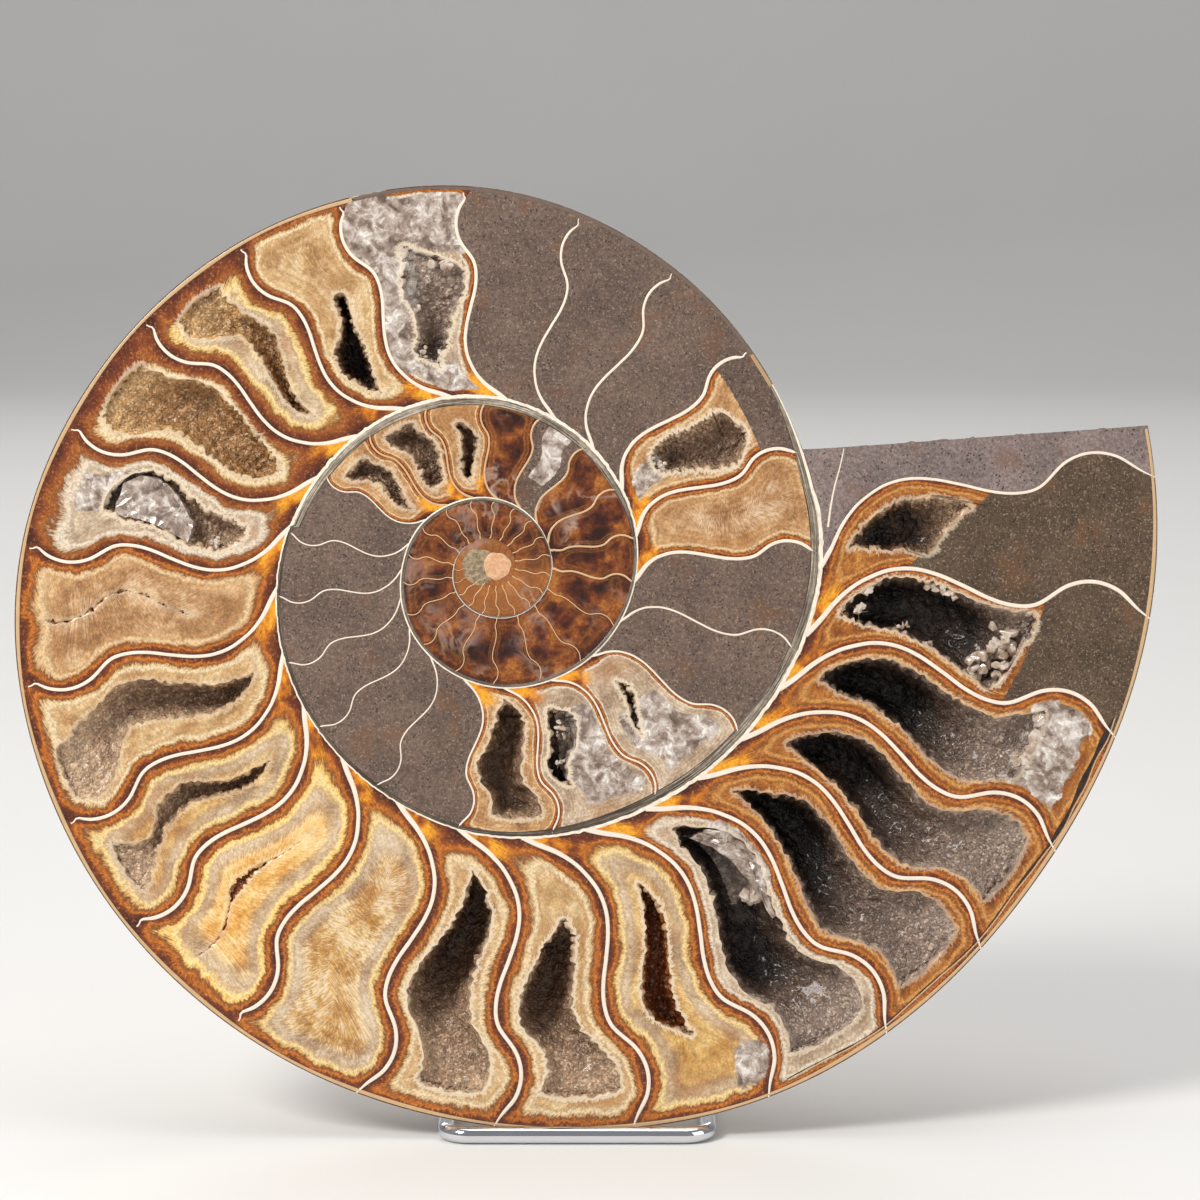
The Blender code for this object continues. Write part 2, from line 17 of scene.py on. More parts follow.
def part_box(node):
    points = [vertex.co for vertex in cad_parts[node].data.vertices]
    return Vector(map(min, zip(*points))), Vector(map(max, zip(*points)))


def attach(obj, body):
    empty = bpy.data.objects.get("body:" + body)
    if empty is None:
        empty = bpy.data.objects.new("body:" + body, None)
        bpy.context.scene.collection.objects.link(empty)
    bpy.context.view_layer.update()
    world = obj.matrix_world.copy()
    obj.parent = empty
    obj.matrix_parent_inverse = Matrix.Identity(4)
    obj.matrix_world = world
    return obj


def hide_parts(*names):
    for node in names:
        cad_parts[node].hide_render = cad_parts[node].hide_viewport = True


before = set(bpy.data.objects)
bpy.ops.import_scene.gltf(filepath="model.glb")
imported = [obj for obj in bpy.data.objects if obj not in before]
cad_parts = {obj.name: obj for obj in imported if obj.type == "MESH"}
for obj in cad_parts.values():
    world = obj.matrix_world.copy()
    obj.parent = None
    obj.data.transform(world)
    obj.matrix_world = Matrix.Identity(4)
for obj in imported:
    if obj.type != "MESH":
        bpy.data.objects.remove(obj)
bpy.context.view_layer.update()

MM = 0.001

# The shell's spiral wall, in millimetres and degrees about the spiral's centre.
WALL_START = -900.0
WALL_STEP = 30.0
WALL_RADII = (
    7.6, 8.4, 9.1, 9.8, 10.7, 11.4,
    11.9, 12.2, 12.8, 13.7, 14.8, 16.4, 17.7, 19.7, 21.6, 23.5, 25.2, 27.1,
    28.7, 30.2, 31.8, 34.1, 36.4, 39.0, 42.4, 45.8, 49.2, 53.4, 56.8, 61.2,
    65.8, 66.9, 70.4, 75.9, 81.0, 87.2, 94.8, 100.0, 105.4, 111.6, 120.0, 125.4,
    132.8, 135.4,
)
CORE_START = -1260.0
CORE_RADIUS = 2.8
SPIRAL_RIGHT = -17.0
SPIRAL_UP = 114.4
SHELL_END = 372.4
LEAN = math.radians(8.0)
FACE_BACK = 2.6
ROD = 3.4

# Outer ends of the chamber walls, counted from the middle outward, in degrees.
TIPS = (
    -613, -592, -570, -549, -530.5, -511, -491.4, -469, -449, -426.6, -406, -385, -365, -347.8,
    -328, -308, -288.4, -268, -248, -227.7, -209.2, -189.4, -171.9, -154.5, -136.8, -117.3,
    -96.7, -76.7, -54.5, -33.7, -14.9, 3.0, 20.9, 39.6, 57.9, 75.4, 93.7, 112.2, 127.6, 144.2,
    161.1, 176.9, 193.7, 210.6, 224.6, 240.1, 256.3, 271, 284.9, 298.4, 311.1, 322.9, 334.1,
    345.6, 356.4, 368.6,
)
CORE_TIP_STEP = 19.0
FIRST_MIDDLE = 12
FIRST_OUTER = 31
SEPTUM_CURVE = (
    (0.00, -8.5), (0.03, -6.2), (0.08, -2.2), (0.14, 0.6), (0.20, 2.2), (0.27, 3.3),
    (0.35, 3.5), (0.43, 2.8), (0.52, 1.4), (0.60, 0.1), (0.67, -0.5), (0.73, -0.2),
    (0.80, 1.8), (0.86, 2.3), (0.92, 1.6), (0.97, 0.0), (1.00, -0.8),
)
BULGE_SPAN = 0.78
FLATTER_SEPTA = (
    (-320, 0.8), (-248, 0.9), (-227, 1.9), (-209, 0.4), (-190, 0.0), (-110, 0.0), (-76, 0.6),
    (-54, 1.7), (-10, 1.9), (60, 1.5), (76, 0.8), (94, 0.5), (115, 0.0),
)
# Inside this angle the foot of a chamber wall swings forward instead of back.
INNER_FOOT_ANGLE = -340
INNER_FOOT_SWING = 14.0
INNER_FOOT_SPAN = 0.24

# The straight broken mouth, as right and up on the face.
MOUTH_RIM = (113.2, 142.8)
MOUTH_INNER = (48.6, 138.2)
MOUTH_REACH = 60.0

# The back of the shell: half thickness as a share of the radius, thickest at FLANK_TOP, and
# the seam at the umbilicus.
FLANK = 0.2
FLANK_TOP = 0.5
RIM_FALL = 2.2
RIM_ROUNDNESS = 0.65
SHOULDER = 0.36
SHOULDER_SPAN = 0.14
SHOULDER_FALL = 0.15
SHOULDER_RISE = 0.6
SEAM = 0.3
RIM_DEPTH = 0.12
SKIN = 0.004

rng = np.random.default_rng(21)


class Curve:
    """A smooth curve through (x, y) points, flat beyond its ends."""

    def __init__(self, points):
        self.x, self.y = np.array(points, float).T
        ahead = np.minimum(np.arange(len(self.x)) + 1, len(self.x) - 1)
        behind = np.maximum(np.arange(len(self.x)) - 1, 0)
        self.slope = (self.y[ahead] - self.y[behind]) / (self.x[ahead] - self.x[behind])

    def __call__(self, x):
        x = np.clip(x, self.x[0], self.x[-1])
        i = np.clip(np.searchsorted(self.x, x, side="right") - 1, 0, len(self.x) - 2)
        h = self.x[i + 1] - self.x[i]
        t = (x - self.x[i]) / h
        start = (2 * t**3 - 3 * t**2 + 1) * self.y[i] + (t**3 - 2 * t**2 + t) * h * self.slope[i]
        end = (3 * t**2 - 2 * t**3) * self.y[i + 1] + (t**3 - t**2) * h * self.slope[i + 1]
        return start + end


def smooth(low, high, x):
    t = np.clip((x - low) / (high - low), 0.0, 1.0)
    return t * t * (3.0 - 2.0 * t)


wall_curve = Curve([(WALL_START + WALL_STEP * i, math.log(r)) for i, r in enumerate(WALL_RADII)])
septum_curve = Curve(SEPTUM_CURVE)


def wall_log(angle):
    """Log of the spiral wall's radius, drawn on evenly inside the first measured turn."""
    angle = np.asarray(angle, float)
    rate = (math.log(WALL_RADII[0]) - math.log(CORE_RADIUS)) / (WALL_START - CORE_START)
    return wall_curve(angle) + rate * np.minimum(angle - WALL_START, 0.0)


def wall_radius(angle):
    return np.exp(wall_log(angle))


def tip_angle(k):
    """Outer end of chamber wall k. Negative numbers go on toward the centre."""
    if k >= 0:
        return TIPS[k]
    return TIPS[0] + CORE_TIP_STEP * k


def septum_angle(k, u):
    tip = tip_angle(k)
    u = np.asarray(u, float)
    flatter = np.interp(tip, *np.array(FLATTER_SEPTA, float).T)
    angle = tip + septum_curve(u) - flatter * np.sin(np.pi * np.minimum(u / BULGE_SPAN, 1)) ** 2
    if tip < INNER_FOOT_ANGLE:
        near = np.clip((INNER_FOOT_SPAN - u) / INNER_FOOT_SPAN, 0, 1)
        angle = angle + INNER_FOOT_SWING * near**2
    return angle


def mouth_angle(radius):
    """Angle at which the straight mouth line lies at a radius about the spiral's centre."""
    start = np.array(MOUTH_RIM) - (SPIRAL_RIGHT, SPIRAL_UP)
    along = np.array(MOUTH_INNER) - MOUTH_RIM
    along = along / np.linalg.norm(along)
    closest = start - along * start.dot(along)
    reach = np.sqrt(np.maximum(radius**2 - closest.dot(closest), 0.0))
    x = closest[0] - along[0] * reach
    y = closest[1] - along[1] * reach
    return np.degrees(np.arctan2(y, x))


def polar_point(angle, radius):
    a = np.radians(angle)
    return SPIRAL_RIGHT + radius * np.cos(a), SPIRAL_UP + radius * np.sin(a)


def spiral_radius(angle, u):
    return np.exp((1 - u) * wall_log(angle - 360.0) + u * wall_log(angle))


def spiral_point(angle, u):
    """Right and up of a point at a share u between the inner and the outer turn."""
    return polar_point(angle, spiral_radius(angle, u))


def chamber_point(k, s, u):
    """Right and up on the face inside chamber k."""
    before = septum_angle(k, u)
    if k == len(TIPS) - 1:
        after = mouth_angle(spiral_radius(before, u)) + 360.0
    else:
        after = septum_angle(k + 1, u)
    return spiral_point((1 - s) * before + s * after, u)


STAND_LOW, STAND_HIGH = (np.array(corner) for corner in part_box("display_stand"))
ORIGIN = np.array(
    [(STAND_LOW[0] + STAND_HIGH[0]) / 2, STAND_LOW[1] + ROD / 2 * MM, STAND_LOW[2]])


def in_world(right, up, depth):
    """Tips points of the face back by the lean, in metres."""
    right, up, depth = np.broadcast_arrays(right, up, depth)
    y = FACE_BACK + up * math.sin(LEAN) + depth * math.cos(LEAN)
    z = up * math.cos(LEAN) - depth * math.sin(LEAN)
    return np.stack([right, y, z], axis=-1) * MM + ORIGIN


# Node materials


def tone(red, green, blue):
    """Linear colour of a display colour given as 0 to 255."""
    c = np.array([red, green, blue]) / 255
    linear = np.where(c <= 0.04045, c / 12.92, ((c + 0.055) / 1.055) ** 2.4)
    return (*(float(v) for v in linear), 1.0)


class Shader:
    """Builds one node material with short calls that hand back sockets."""

    def __init__(self, name, roughness=0.3, coat=None, metallic=0.0):
        self.material = bpy.data.materials.new(name)
        self.material.use_nodes = True
        self.tree = self.material.node_tree
        self.surface = self.tree.nodes["Principled BSDF"].inputs
        self.surface["Roughness"].default_value = roughness
        self.surface["Metallic"].default_value = metallic
        if coat:
            self.surface["Coat Weight"].default_value = coat[0]
            self.surface["Coat Roughness"].default_value = coat[1]
        self.object_space = self.tree.nodes.new("ShaderNodeTexCoord").outputs["Object"]

    def feed(self, socket, value):
        if isinstance(value, bpy.types.NodeSocket):
            self.tree.links.new(value, socket)
        else:
            socket.default_value = value

    def node(self, kind, out=0, **inputs):
        """Adds a node. A name that is no property of it is one of its sockets."""
        node = self.tree.nodes.new("ShaderNode" + kind)
        for key in [key for key in inputs if hasattr(node, key)]:
            setattr(node, key, inputs.pop(key))
        for key, value in inputs.items():
            self.feed(node.inputs[key.replace("_", " ")], value)
        return node.outputs[out]

    def attribute(self, name, out="Fac"):
        return self.node("Attribute", out, attribute_name=name)

    def math(self, operation, a, b=0.0, *more, kind="Math"):
        node = self.tree.nodes.new("ShaderNode" + kind)
        node.operation = operation
        for socket, value in zip(node.inputs, (a, b, *more)):
            self.feed(socket, value)
        return node.outputs[0]

    def times(self, a, b):
        return self.math("MULTIPLY", a, b)

    def plus(self, a, b, share=None):
        """a and b together, or a and a share of b."""
        return self.math("ADD", a, self.times(b, share) if share else b)

    def noise(self, scale, detail=3.0, rough=0.55, vector=None, warp=0.0):
        return self.node("TexNoise", 0, Vector=vector or self.object_space, Scale=scale,
                         Detail=detail, Roughness=rough, Distortion=warp)

    def grit(self, scale, detail=3.0, rough=0.6, vector=None, warp=0.0):
        """Noise stretched over the whole range from 0 to 1."""
        return self.remap(self.noise(scale, detail, rough, vector, warp), 0.3, 0.7)

    def cells(self, scale, vector=None, out="Distance"):
        return self.node("TexVoronoi", out, Vector=vector or self.object_space, Scale=scale)

    def shards(self, scale, vector=None):
        """A random level from 0 to 1 for every cell."""
        return self.node("SeparateColor", 0, Color=self.cells(scale, vector, "Color"))

    def remap(self, value, low, high, to_low=0.0, to_high=1.0):
        return self.node("MapRange", 0, interpolation_type="SMOOTHSTEP", Value=value,
                         From_Min=low, From_Max=high, To_Min=to_low, To_Max=to_high)

    def ramp(self, value, stops):
        """Colour by value, from (value, colour) stops in rising order."""
        low, high = stops[0][0], stops[-1][0]
        node = self.tree.nodes.new("ShaderNodeValToRGB")
        while len(node.color_ramp.elements) < len(stops):
            node.color_ramp.elements.new(1.0)
        for element, (place, colour) in zip(node.color_ramp.elements, stops):
            element.position = (place - low) / (high - low)
            element.color = colour
        share = self.node("MapRange", 0, Value=value, From_Min=low, From_Max=high)
        self.tree.links.new(share, node.inputs["Fac"])
        return node.outputs["Color"]

    def mix(self, share, a, b, blend="MIX"):
        node = self.tree.nodes.new("ShaderNodeMix")
        node.data_type = "RGBA"
        node.blend_type = blend
        self.feed(node.inputs[0], share)
        self.feed(node.inputs[6], a)
        self.feed(node.inputs[7], b)
        return node.outputs[2]

    def shade(self, colour, low, high, value):
        """Darkens or lightens a colour by a value from 0 to 1."""
        level = self.node("MapRange", 0, Value=value, To_Min=low, To_Max=high)
        grey = self.node("CombineColor", 0, Red=level, Green=level, Blue=level)
        return self.mix(1.0, colour, grey, "MULTIPLY")

    def bump(self, height, strength, distance):
        return self.node(
            "Bump", 0, Height=height, Strength=strength, Distance=distance * MM)

    def finish(self, colour, normal=None, roughness=None):
        for key, value in (("Base Color", colour), ("Normal", normal), ("Roughness", roughness)):
            if value:
                self.feed(self.surface[key], value)
        return self.material


WHITE_LINE = tone(252, 238, 218)
RUST_DARK = tone(66, 28, 16)
RUST = tone(122, 60, 28)
ORANGE = tone(206, 118, 28)
AMBER = tone(244, 166, 44)
PALE = tone(232, 214, 186)
MUD = tone(104, 85, 74)
MUD_DARK = tone(44, 34, 28)
MUD_OLIVE = tone(87, 70, 54)
MUD_PURPLE = tone(126, 110, 106)
BLACK = tone(8, 5, 3)


def tones(table):
    return {name: [tone(*colour) for colour in row] for name, row in table.items()}


# Fills of the chambers, each from its darkest to its palest tone.
FILLS = tones({
    "tan": ((124, 84, 50), (168, 122, 78), (198, 154, 106), (226, 196, 152)),
    "cream": ((136, 98, 58), (180, 138, 90), (208, 172, 122), (234, 212, 172)),
    "yellow": ((138, 92, 44), (188, 138, 74), (214, 172, 102), (238, 212, 154)),
    "golden": ((186, 118, 44), (224, 162, 76), (240, 192, 108), (250, 220, 152)),
    "grey": ((126, 100, 78), (168, 142, 116), (200, 176, 148), (228, 212, 190)),
    "amber": ((74, 32, 12), (128, 68, 24), (168, 102, 42), (210, 152, 82)),
    "umber": ((42, 16, 10), (86, 38, 17), (128, 68, 28), (190, 120, 50)),
})
# Walls of the hollows, each from the lip down: the druse's own tone at the lip, then painted shade
# that darkens to black with depth.
VOIDS = tones({
    "druse": ((204, 172, 138), (164, 132, 104), (108, 80, 58), (36, 22, 13)),
    "grey": ((188, 168, 152), (148, 126, 112), (92, 72, 60), (28, 19, 14)),
    "gold": ((208, 166, 108), (170, 124, 74), (122, 80, 42), (40, 22, 10)),
    "rust": ((196, 130, 62), (146, 76, 26), (100, 46, 14), (44, 17, 6)),
})


def mud_colour(shader, base):
    """Fine mudstone: gritty and mottled, with dark specks, pale grains and rusty stains."""
    colour = shader.shade(base, 0.6, 1.42, shader.grit(1500, 3.0, 0.85))
    colour = shader.shade(colour, 0.78, 1.22, shader.grit(80, 4.0, 0.7))
    stain = shader.remap(shader.noise(130, 3.0), 0.55, 0.7, 0.0, 0.45)
    colour = shader.mix(stain, colour, tone(116, 78, 50))
    few = shader.noise(260, 1.0)
    specks = shader.remap(shader.cells(1200), 0.14, 0.3)
    specks = shader.math("MAXIMUM", specks, shader.remap(few, 0.44, 0.56))
    colour = shader.mix(specks, MUD_DARK, colour)
    grains = shader.remap(shader.noise(2400, 1.0), 0.6, 0.68, 0.0, 0.4)
    return shader.mix(grains, colour, tone(186, 162, 138))


def mud_material(name, base):
    shader = Shader(name, 0.42, coat=(0.12, 0.2))
    return shader.finish(mud_colour(shader, base), shader.bump(shader.noise(1500, 2.0), 0.2, 0.1))


def banded_calcite(shader, fill, rust, glow, fibre, cloud, grain, wisps, banded):
    """Calcite that grew inward from the walls: rusty beside them, then fibrous and pale."""
    coarse = 0.85 if fill == "umber" else 0.62
    mottle = shader.plus(shader.times(cloud, coarse), grain, 1.0 - coarse)
    tones = FILLS[fill]
    stops = (0.14, 0.48, 0.76, 1.05) if fill == "umber" else (-0.1, 0.3, 0.66, 1.05)
    inside = shader.ramp(mottle, list(zip(stops, tones)))
    edge = shader.attribute("edge")
    sway = shader.node("MapRange", 0, Value=cloud, To_Min=-0.3, To_Max=0.3)
    reach = shader.plus(shader.plus(shader.math("DIVIDE", edge, rust), sway), fibre, 0.3)
    if fill in ("yellow", "golden"):
        pale = shader.ramp(mottle, list(zip(stops, FILLS["grey"])))
        inside = shader.mix(shader.remap(reach, 2.4, 4.6), pale, inside)
    if fill != "umber":
        stain = shader.remap(shader.noise(52, 3.0), 0.52, 0.68, 0.0, 0.4)
        inside = shader.mix(stain, inside, tone(172, 112, 56))
    inside = shader.shade(inside, 0.86, 1.14, fibre)
    ripple = shader.math("SINE", shader.times(reach, 5.0))
    ripple = shader.node("MapRange", 0, Value=ripple, From_Min=-1.0)
    inside = shader.shade(inside, 0.88, 1.08, ripple)
    warm = shader.times(shader.attribute("warm"), 0.5)
    inside = shader.mix(warm, inside, tone(186, 118, 62))
    band = shader.ramp(reach, [
        (0.0, RUST_DARK), (0.4, tone(90, 42, 24)), (0.8, RUST), (1.05, tone(*glow)),
        (1.25, tone(160, 92, 36)), (1.45, tone(122, 74, 40)), (1.7, tones[2]),
        (2.05, tones[3]), (2.6, tones[1])])
    band = shader.shade(band, 0.72, 1.28, grain)
    band = shader.mix(shader.remap(grain, 0.84, 0.96, 0.0, 0.35), band, tone(206, 150, 86))
    colour = shader.mix(shader.remap(reach, 1.9, 2.8, 1.0 - banded, 1.0), band, inside)
    if wisps:
        line = shader.math("SUBTRACT", shader.noise(150, 3.0, 0.6, warp=0.7), 0.5)
        line = shader.remap(shader.math("ABSOLUTE", line), 0.08, 0.0)
        few = shader.remap(shader.noise(75, 2.0), 0.46, 0.6, 0.0, wisps)
        colour = shader.mix(shader.times(line, few), colour, tone(188, 158, 142))
    return colour


def ice_colour(shader):
    """White and clear crystals seen cut: angular slabs, some milky and some clear."""
    wave = shader.node("TexNoise", 1, Vector=shader.object_space, Scale=520.0, Detail=1.0)
    bent = shader.math(
        "MULTIPLY_ADD", wave, (0.0022, 0.0022, 0.0022), shader.object_space, kind="VectorMath")
    slab = shader.shards(330, bent)
    shard = shader.shards(1050, bent)
    milk = shader.grit(330, 4.0, 0.7, warp=0.7)
    level = shader.plus(shader.plus(shader.times(slab, 0.26), shard, 0.24), milk, 0.5)
    white = shader.ramp(level, [
        (0.12, tone(96, 79, 70)), (0.36, tone(142, 123, 110)), (0.54, tone(176, 160, 148)),
        (0.7, tone(206, 194, 184)), (0.9, tone(244, 238, 230))])
    ragged = shader.plus(shader.plus(shader.attribute("ice"), slab, 0.3), milk, 0.25)
    return white, shader.remap(ragged, 0.62, 0.82)


def hollow_colour(shader, void, painted_black_at, fibre):
    """Druzy floor of a hollow: sugary pale crystals at its lip, darkened to black with depth by
    painted shade, with painted glints.
    """
    sugar = shader.shards(2300)
    patch = shader.grit(430, 3.0, 0.7)
    depth = shader.plus(shader.attribute("deep"), fibre, 0.5)
    depth = shader.plus(depth, patch, 0.12 * painted_black_at)
    first, second, third, fourth = VOIDS[void]
    # Painted shade: the druse's tones darken to black the deeper the floor lies.
    hollow = shader.ramp(depth, [
        (0.3, PALE), (0.9, first), (0.3 * painted_black_at + 0.9, second), (0.58 * painted_black_at + 0.9, third),
        (0.86 * painted_black_at + 0.9, fourth), (1.12 * painted_black_at + 0.9, BLACK)])
    stain = shader.remap(shader.noise(85, 3.0), 0.5, 0.64, 0.0, 0.45)
    hollow = shader.mix(stain, hollow, third)
    hollow = shader.shade(hollow, 0.82, 1.18, shader.attribute("cell"))
    hollow = shader.shade(hollow, 0.64, 1.38, sugar)
    # Painted glints: a few sugar crystals are lightened towards pale where the floor is shallow.
    glint = shader.times(shader.remap(sugar, 0.84, 0.9), 0.4)
    glint = shader.times(glint, shader.remap(depth, 0.85 * painted_black_at, 0.3 * painted_black_at))
    return shader.mix(glint, hollow, PALE)


def stone_material(name, fill, rust=1.0, glow=(196, 112, 34), painted_black_at=0.0, mud=None,
                   void="druse", banded=1.0, ice=False, wisps=0.0, lip=0.8, plumes=0.0):
    """What fills a chamber. painted_black_at, the depth at which a hollow's painted shade turns
    black, is 0 in one without a hollow.
    """
    shader = Shader(name, coat=(0.25, 0.12))
    fibre = shader.grit(3.4, 2.0, vector=shader.attribute("grain", "Vector"))
    cloud = shader.grit(190, 3.0)
    grain = shader.grit(1900, 2.0, 0.7)
    colour = banded_calcite(shader, fill, rust, glow, fibre, cloud, grain, wisps, banded)
    if plumes:
        plume = shader.remap(shader.plus(fibre, cloud, 0.7), 0.75, 1.3, 0.0, plumes)
        plume = shader.times(plume, shader.remap(shader.attribute("edge"), 3.0, 6.5))
        colour = shader.mix(plume, colour, tone(238, 226, 208))
    if fill != "umber":
        foot = shader.plus(shader.attribute("foot"), fibre, 0.25)
        wash = shader.ramp(cloud, [(0.0, RUST), (0.26, ORANGE), (0.6, AMBER)])
        wash = shader.shade(shader.shade(wash, 0.8, 1.16, fibre), 0.8, 1.2, grain)
        colour = shader.mix(shader.remap(foot, 0.45, 0.9, 0.0, 0.95), colour, wash)
    if mud:
        earth = shader.plus(shader.attribute("mud"), fibre, 0.2)
        colour = shader.mix(shader.remap(earth, 0.5, 0.68), colour, mud_colour(shader, mud))
    if ice:
        white, share = ice_colour(shader)
        colour = shader.mix(share, colour, white)
    if not painted_black_at:
        return shader.finish(colour, shader.bump(grain, 0.12, 0.1))
    hole = shader.attribute("hole")
    teeth = shader.math("SUBTRACT", hole, shader.times(fibre, 0.55))
    teeth = shader.math("SUBTRACT", teeth, shader.times(grain, 0.45))
    colour = shader.mix(shader.remap(teeth, 0.35, -0.15, 0.0, lip), colour, PALE)
    hollow = hollow_colour(shader, void, painted_black_at, fibre)
    if ice:
        hollow = shader.mix(share, hollow, white)
    open_part = shader.remap(hole, 0.02, -0.06)
    colour = shader.mix(open_part, colour, hollow)
    bump = shader.bump(shader.times(shader.cells(1900), open_part), 0.9, 0.4)
    return shader.finish(colour, bump, shader.remap(open_part, 0.0, 1.0, 0.3, 0.45))


def stretched(shader, across, wide, long):
    """Coordinates for stripes that run along a wall."""
    return shader.node("CombineXYZ", 0, X=shader.times(across, wide),
                       Y=shader.times(shader.attribute("along"), long))


def line_material(name, colour, core=RUST):
    """Shell layers seen edge on: pale lines with fine stripes along the wall."""
    shader = Shader(name, 0.32, coat=(0.2, 0.15))
    across = shader.attribute("across")
    stripes = shader.noise(1.6, 3.0, vector=stretched(shader, across, 3.0, 0.12))
    side = shader.remap(shader.math("ABSOLUTE", across), 0.55, 1.0)
    tint = shader.shade(shader.mix(side, colour, core), 0.75, 1.15, stripes)
    tint = shader.shade(tint, 0.8, 1.1, shader.noise(700, 3.0))
    return shader.finish(tint, shader.bump(shader.noise(1400, 2.0), 0.15, 0.1))


def wall_material():
    """The spiral wall between two turns: a white outer layer on grey layered shell."""
    shader = Shader("spiral_wall", 0.35, coat=(0.2, 0.15))
    across = shader.attribute("across")
    stripes = shader.grit(1.5, 4.0, vector=stretched(shader, across, 4.0, 0.06))
    layer = shader.plus(across, stripes, 0.16)
    pale = shader.ramp(stripes, [(0.1, tone(74, 62, 50)), (0.4, tone(134, 121, 104)),
                                 (0.7, tone(168, 156, 138)), (0.95, tone(204, 193, 176))])
    dull = shader.ramp(stripes, [(0.1, tone(30, 24, 20)), (0.45, tone(70, 58, 48)),
                                 (0.8, tone(120, 106, 90))])
    core = shader.mix(shader.attribute("grey"), dull, pale)
    core = shader.shade(core, 0.75, 1.25, shader.grit(900, 3.0))
    chalk = shader.shade(WHITE_LINE, 0.78, 1.06, shader.grit(800, 4.0))
    colour = shader.mix(shader.remap(layer, 0.3, 0.42), core, chalk)
    colour = shader.mix(shader.remap(layer, -0.78, -0.66), tone(58, 40, 28), colour)
    return shader.finish(colour, shader.bump(shader.noise(1400, 2.0), 0.15, 0.1))


# Mesh helpers


def pair(a, b):
    return np.stack([a, b], -1)


def grid_faces(rows, columns, closed=False):
    """Quads of a grid of points listed row by row."""
    across = columns if closed else columns - 1
    i, j = np.meshgrid(np.arange(rows - 1), np.arange(across), indexing="ij")
    here = i * columns + j
    aside = i * columns + (j + 1) % columns
    return np.stack([here, aside, aside + columns, here + columns], -1).reshape(-1, 4)


def put(name, data):
    """Puts a mesh, a light or the camera into the scene."""
    item = bpy.data.objects.new(name, data)
    bpy.context.scene.collection.objects.link(item)
    return item


def declare(piece, replaces):
    """Tells the frame what a piece rides on and hides the solids that it stands for."""
    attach(piece, "root")
    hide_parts(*replaces)


def make_piece(name, points, faces, material, attributes=None, replaces=("ammonite",),
               slot="fossil_stone", flip=False):
    """Links a mesh of quads, smooth shaded, that rides on the shell."""
    faces = faces[:, ::-1] if flip else faces
    mesh = bpy.data.meshes.new(name)
    mesh.vertices.add(len(points))
    mesh.vertices.foreach_set("co", np.ascontiguousarray(points, np.float32).ravel())
    mesh.loops.add(faces.size)
    mesh.loops.foreach_set("vertex_index", np.ascontiguousarray(faces, np.int32).ravel())
    mesh.polygons.add(len(faces))
    mesh.polygons.foreach_set("loop_start", np.arange(0, faces.size, 4, dtype=np.int32))
    mesh.update(calc_edges=True)
    for key, values in (attributes or {}).items():
        values = np.asarray(values, np.float32)
        kind, field = ("FLOAT", "value") if values.ndim == 1 else ("FLOAT_VECTOR", "vector")
        layer = mesh.attributes.new(key, kind, "POINT")
        layer.data.foreach_set(field, np.ascontiguousarray(values).ravel())
    mesh.shade_smooth()
    mesh.materials.append(material)
    piece = put(name, mesh)
    declare(piece, replaces)
    return piece


def make_sheet(name, right, up, depth, material, attributes=None, closed=False, **options):
    """A piece from a grid of points given on and behind the face."""
    points = in_world(right, up, depth)
    faces = grid_faces(*points.shape[:2], closed)
    return make_piece(name, points.reshape(-1, 3), faces, material, attributes, **options)


def nearest(points, line):
    """Distance of every point to the closest point of a line."""
    tree = KDTree(len(line))
    for i, (x, y) in enumerate(line):
        tree.insert((x, y, 0.0), i)
    tree.balance()
    return np.array([tree.find((x, y, 0.0))[2] for x, y in points])


# Chambers

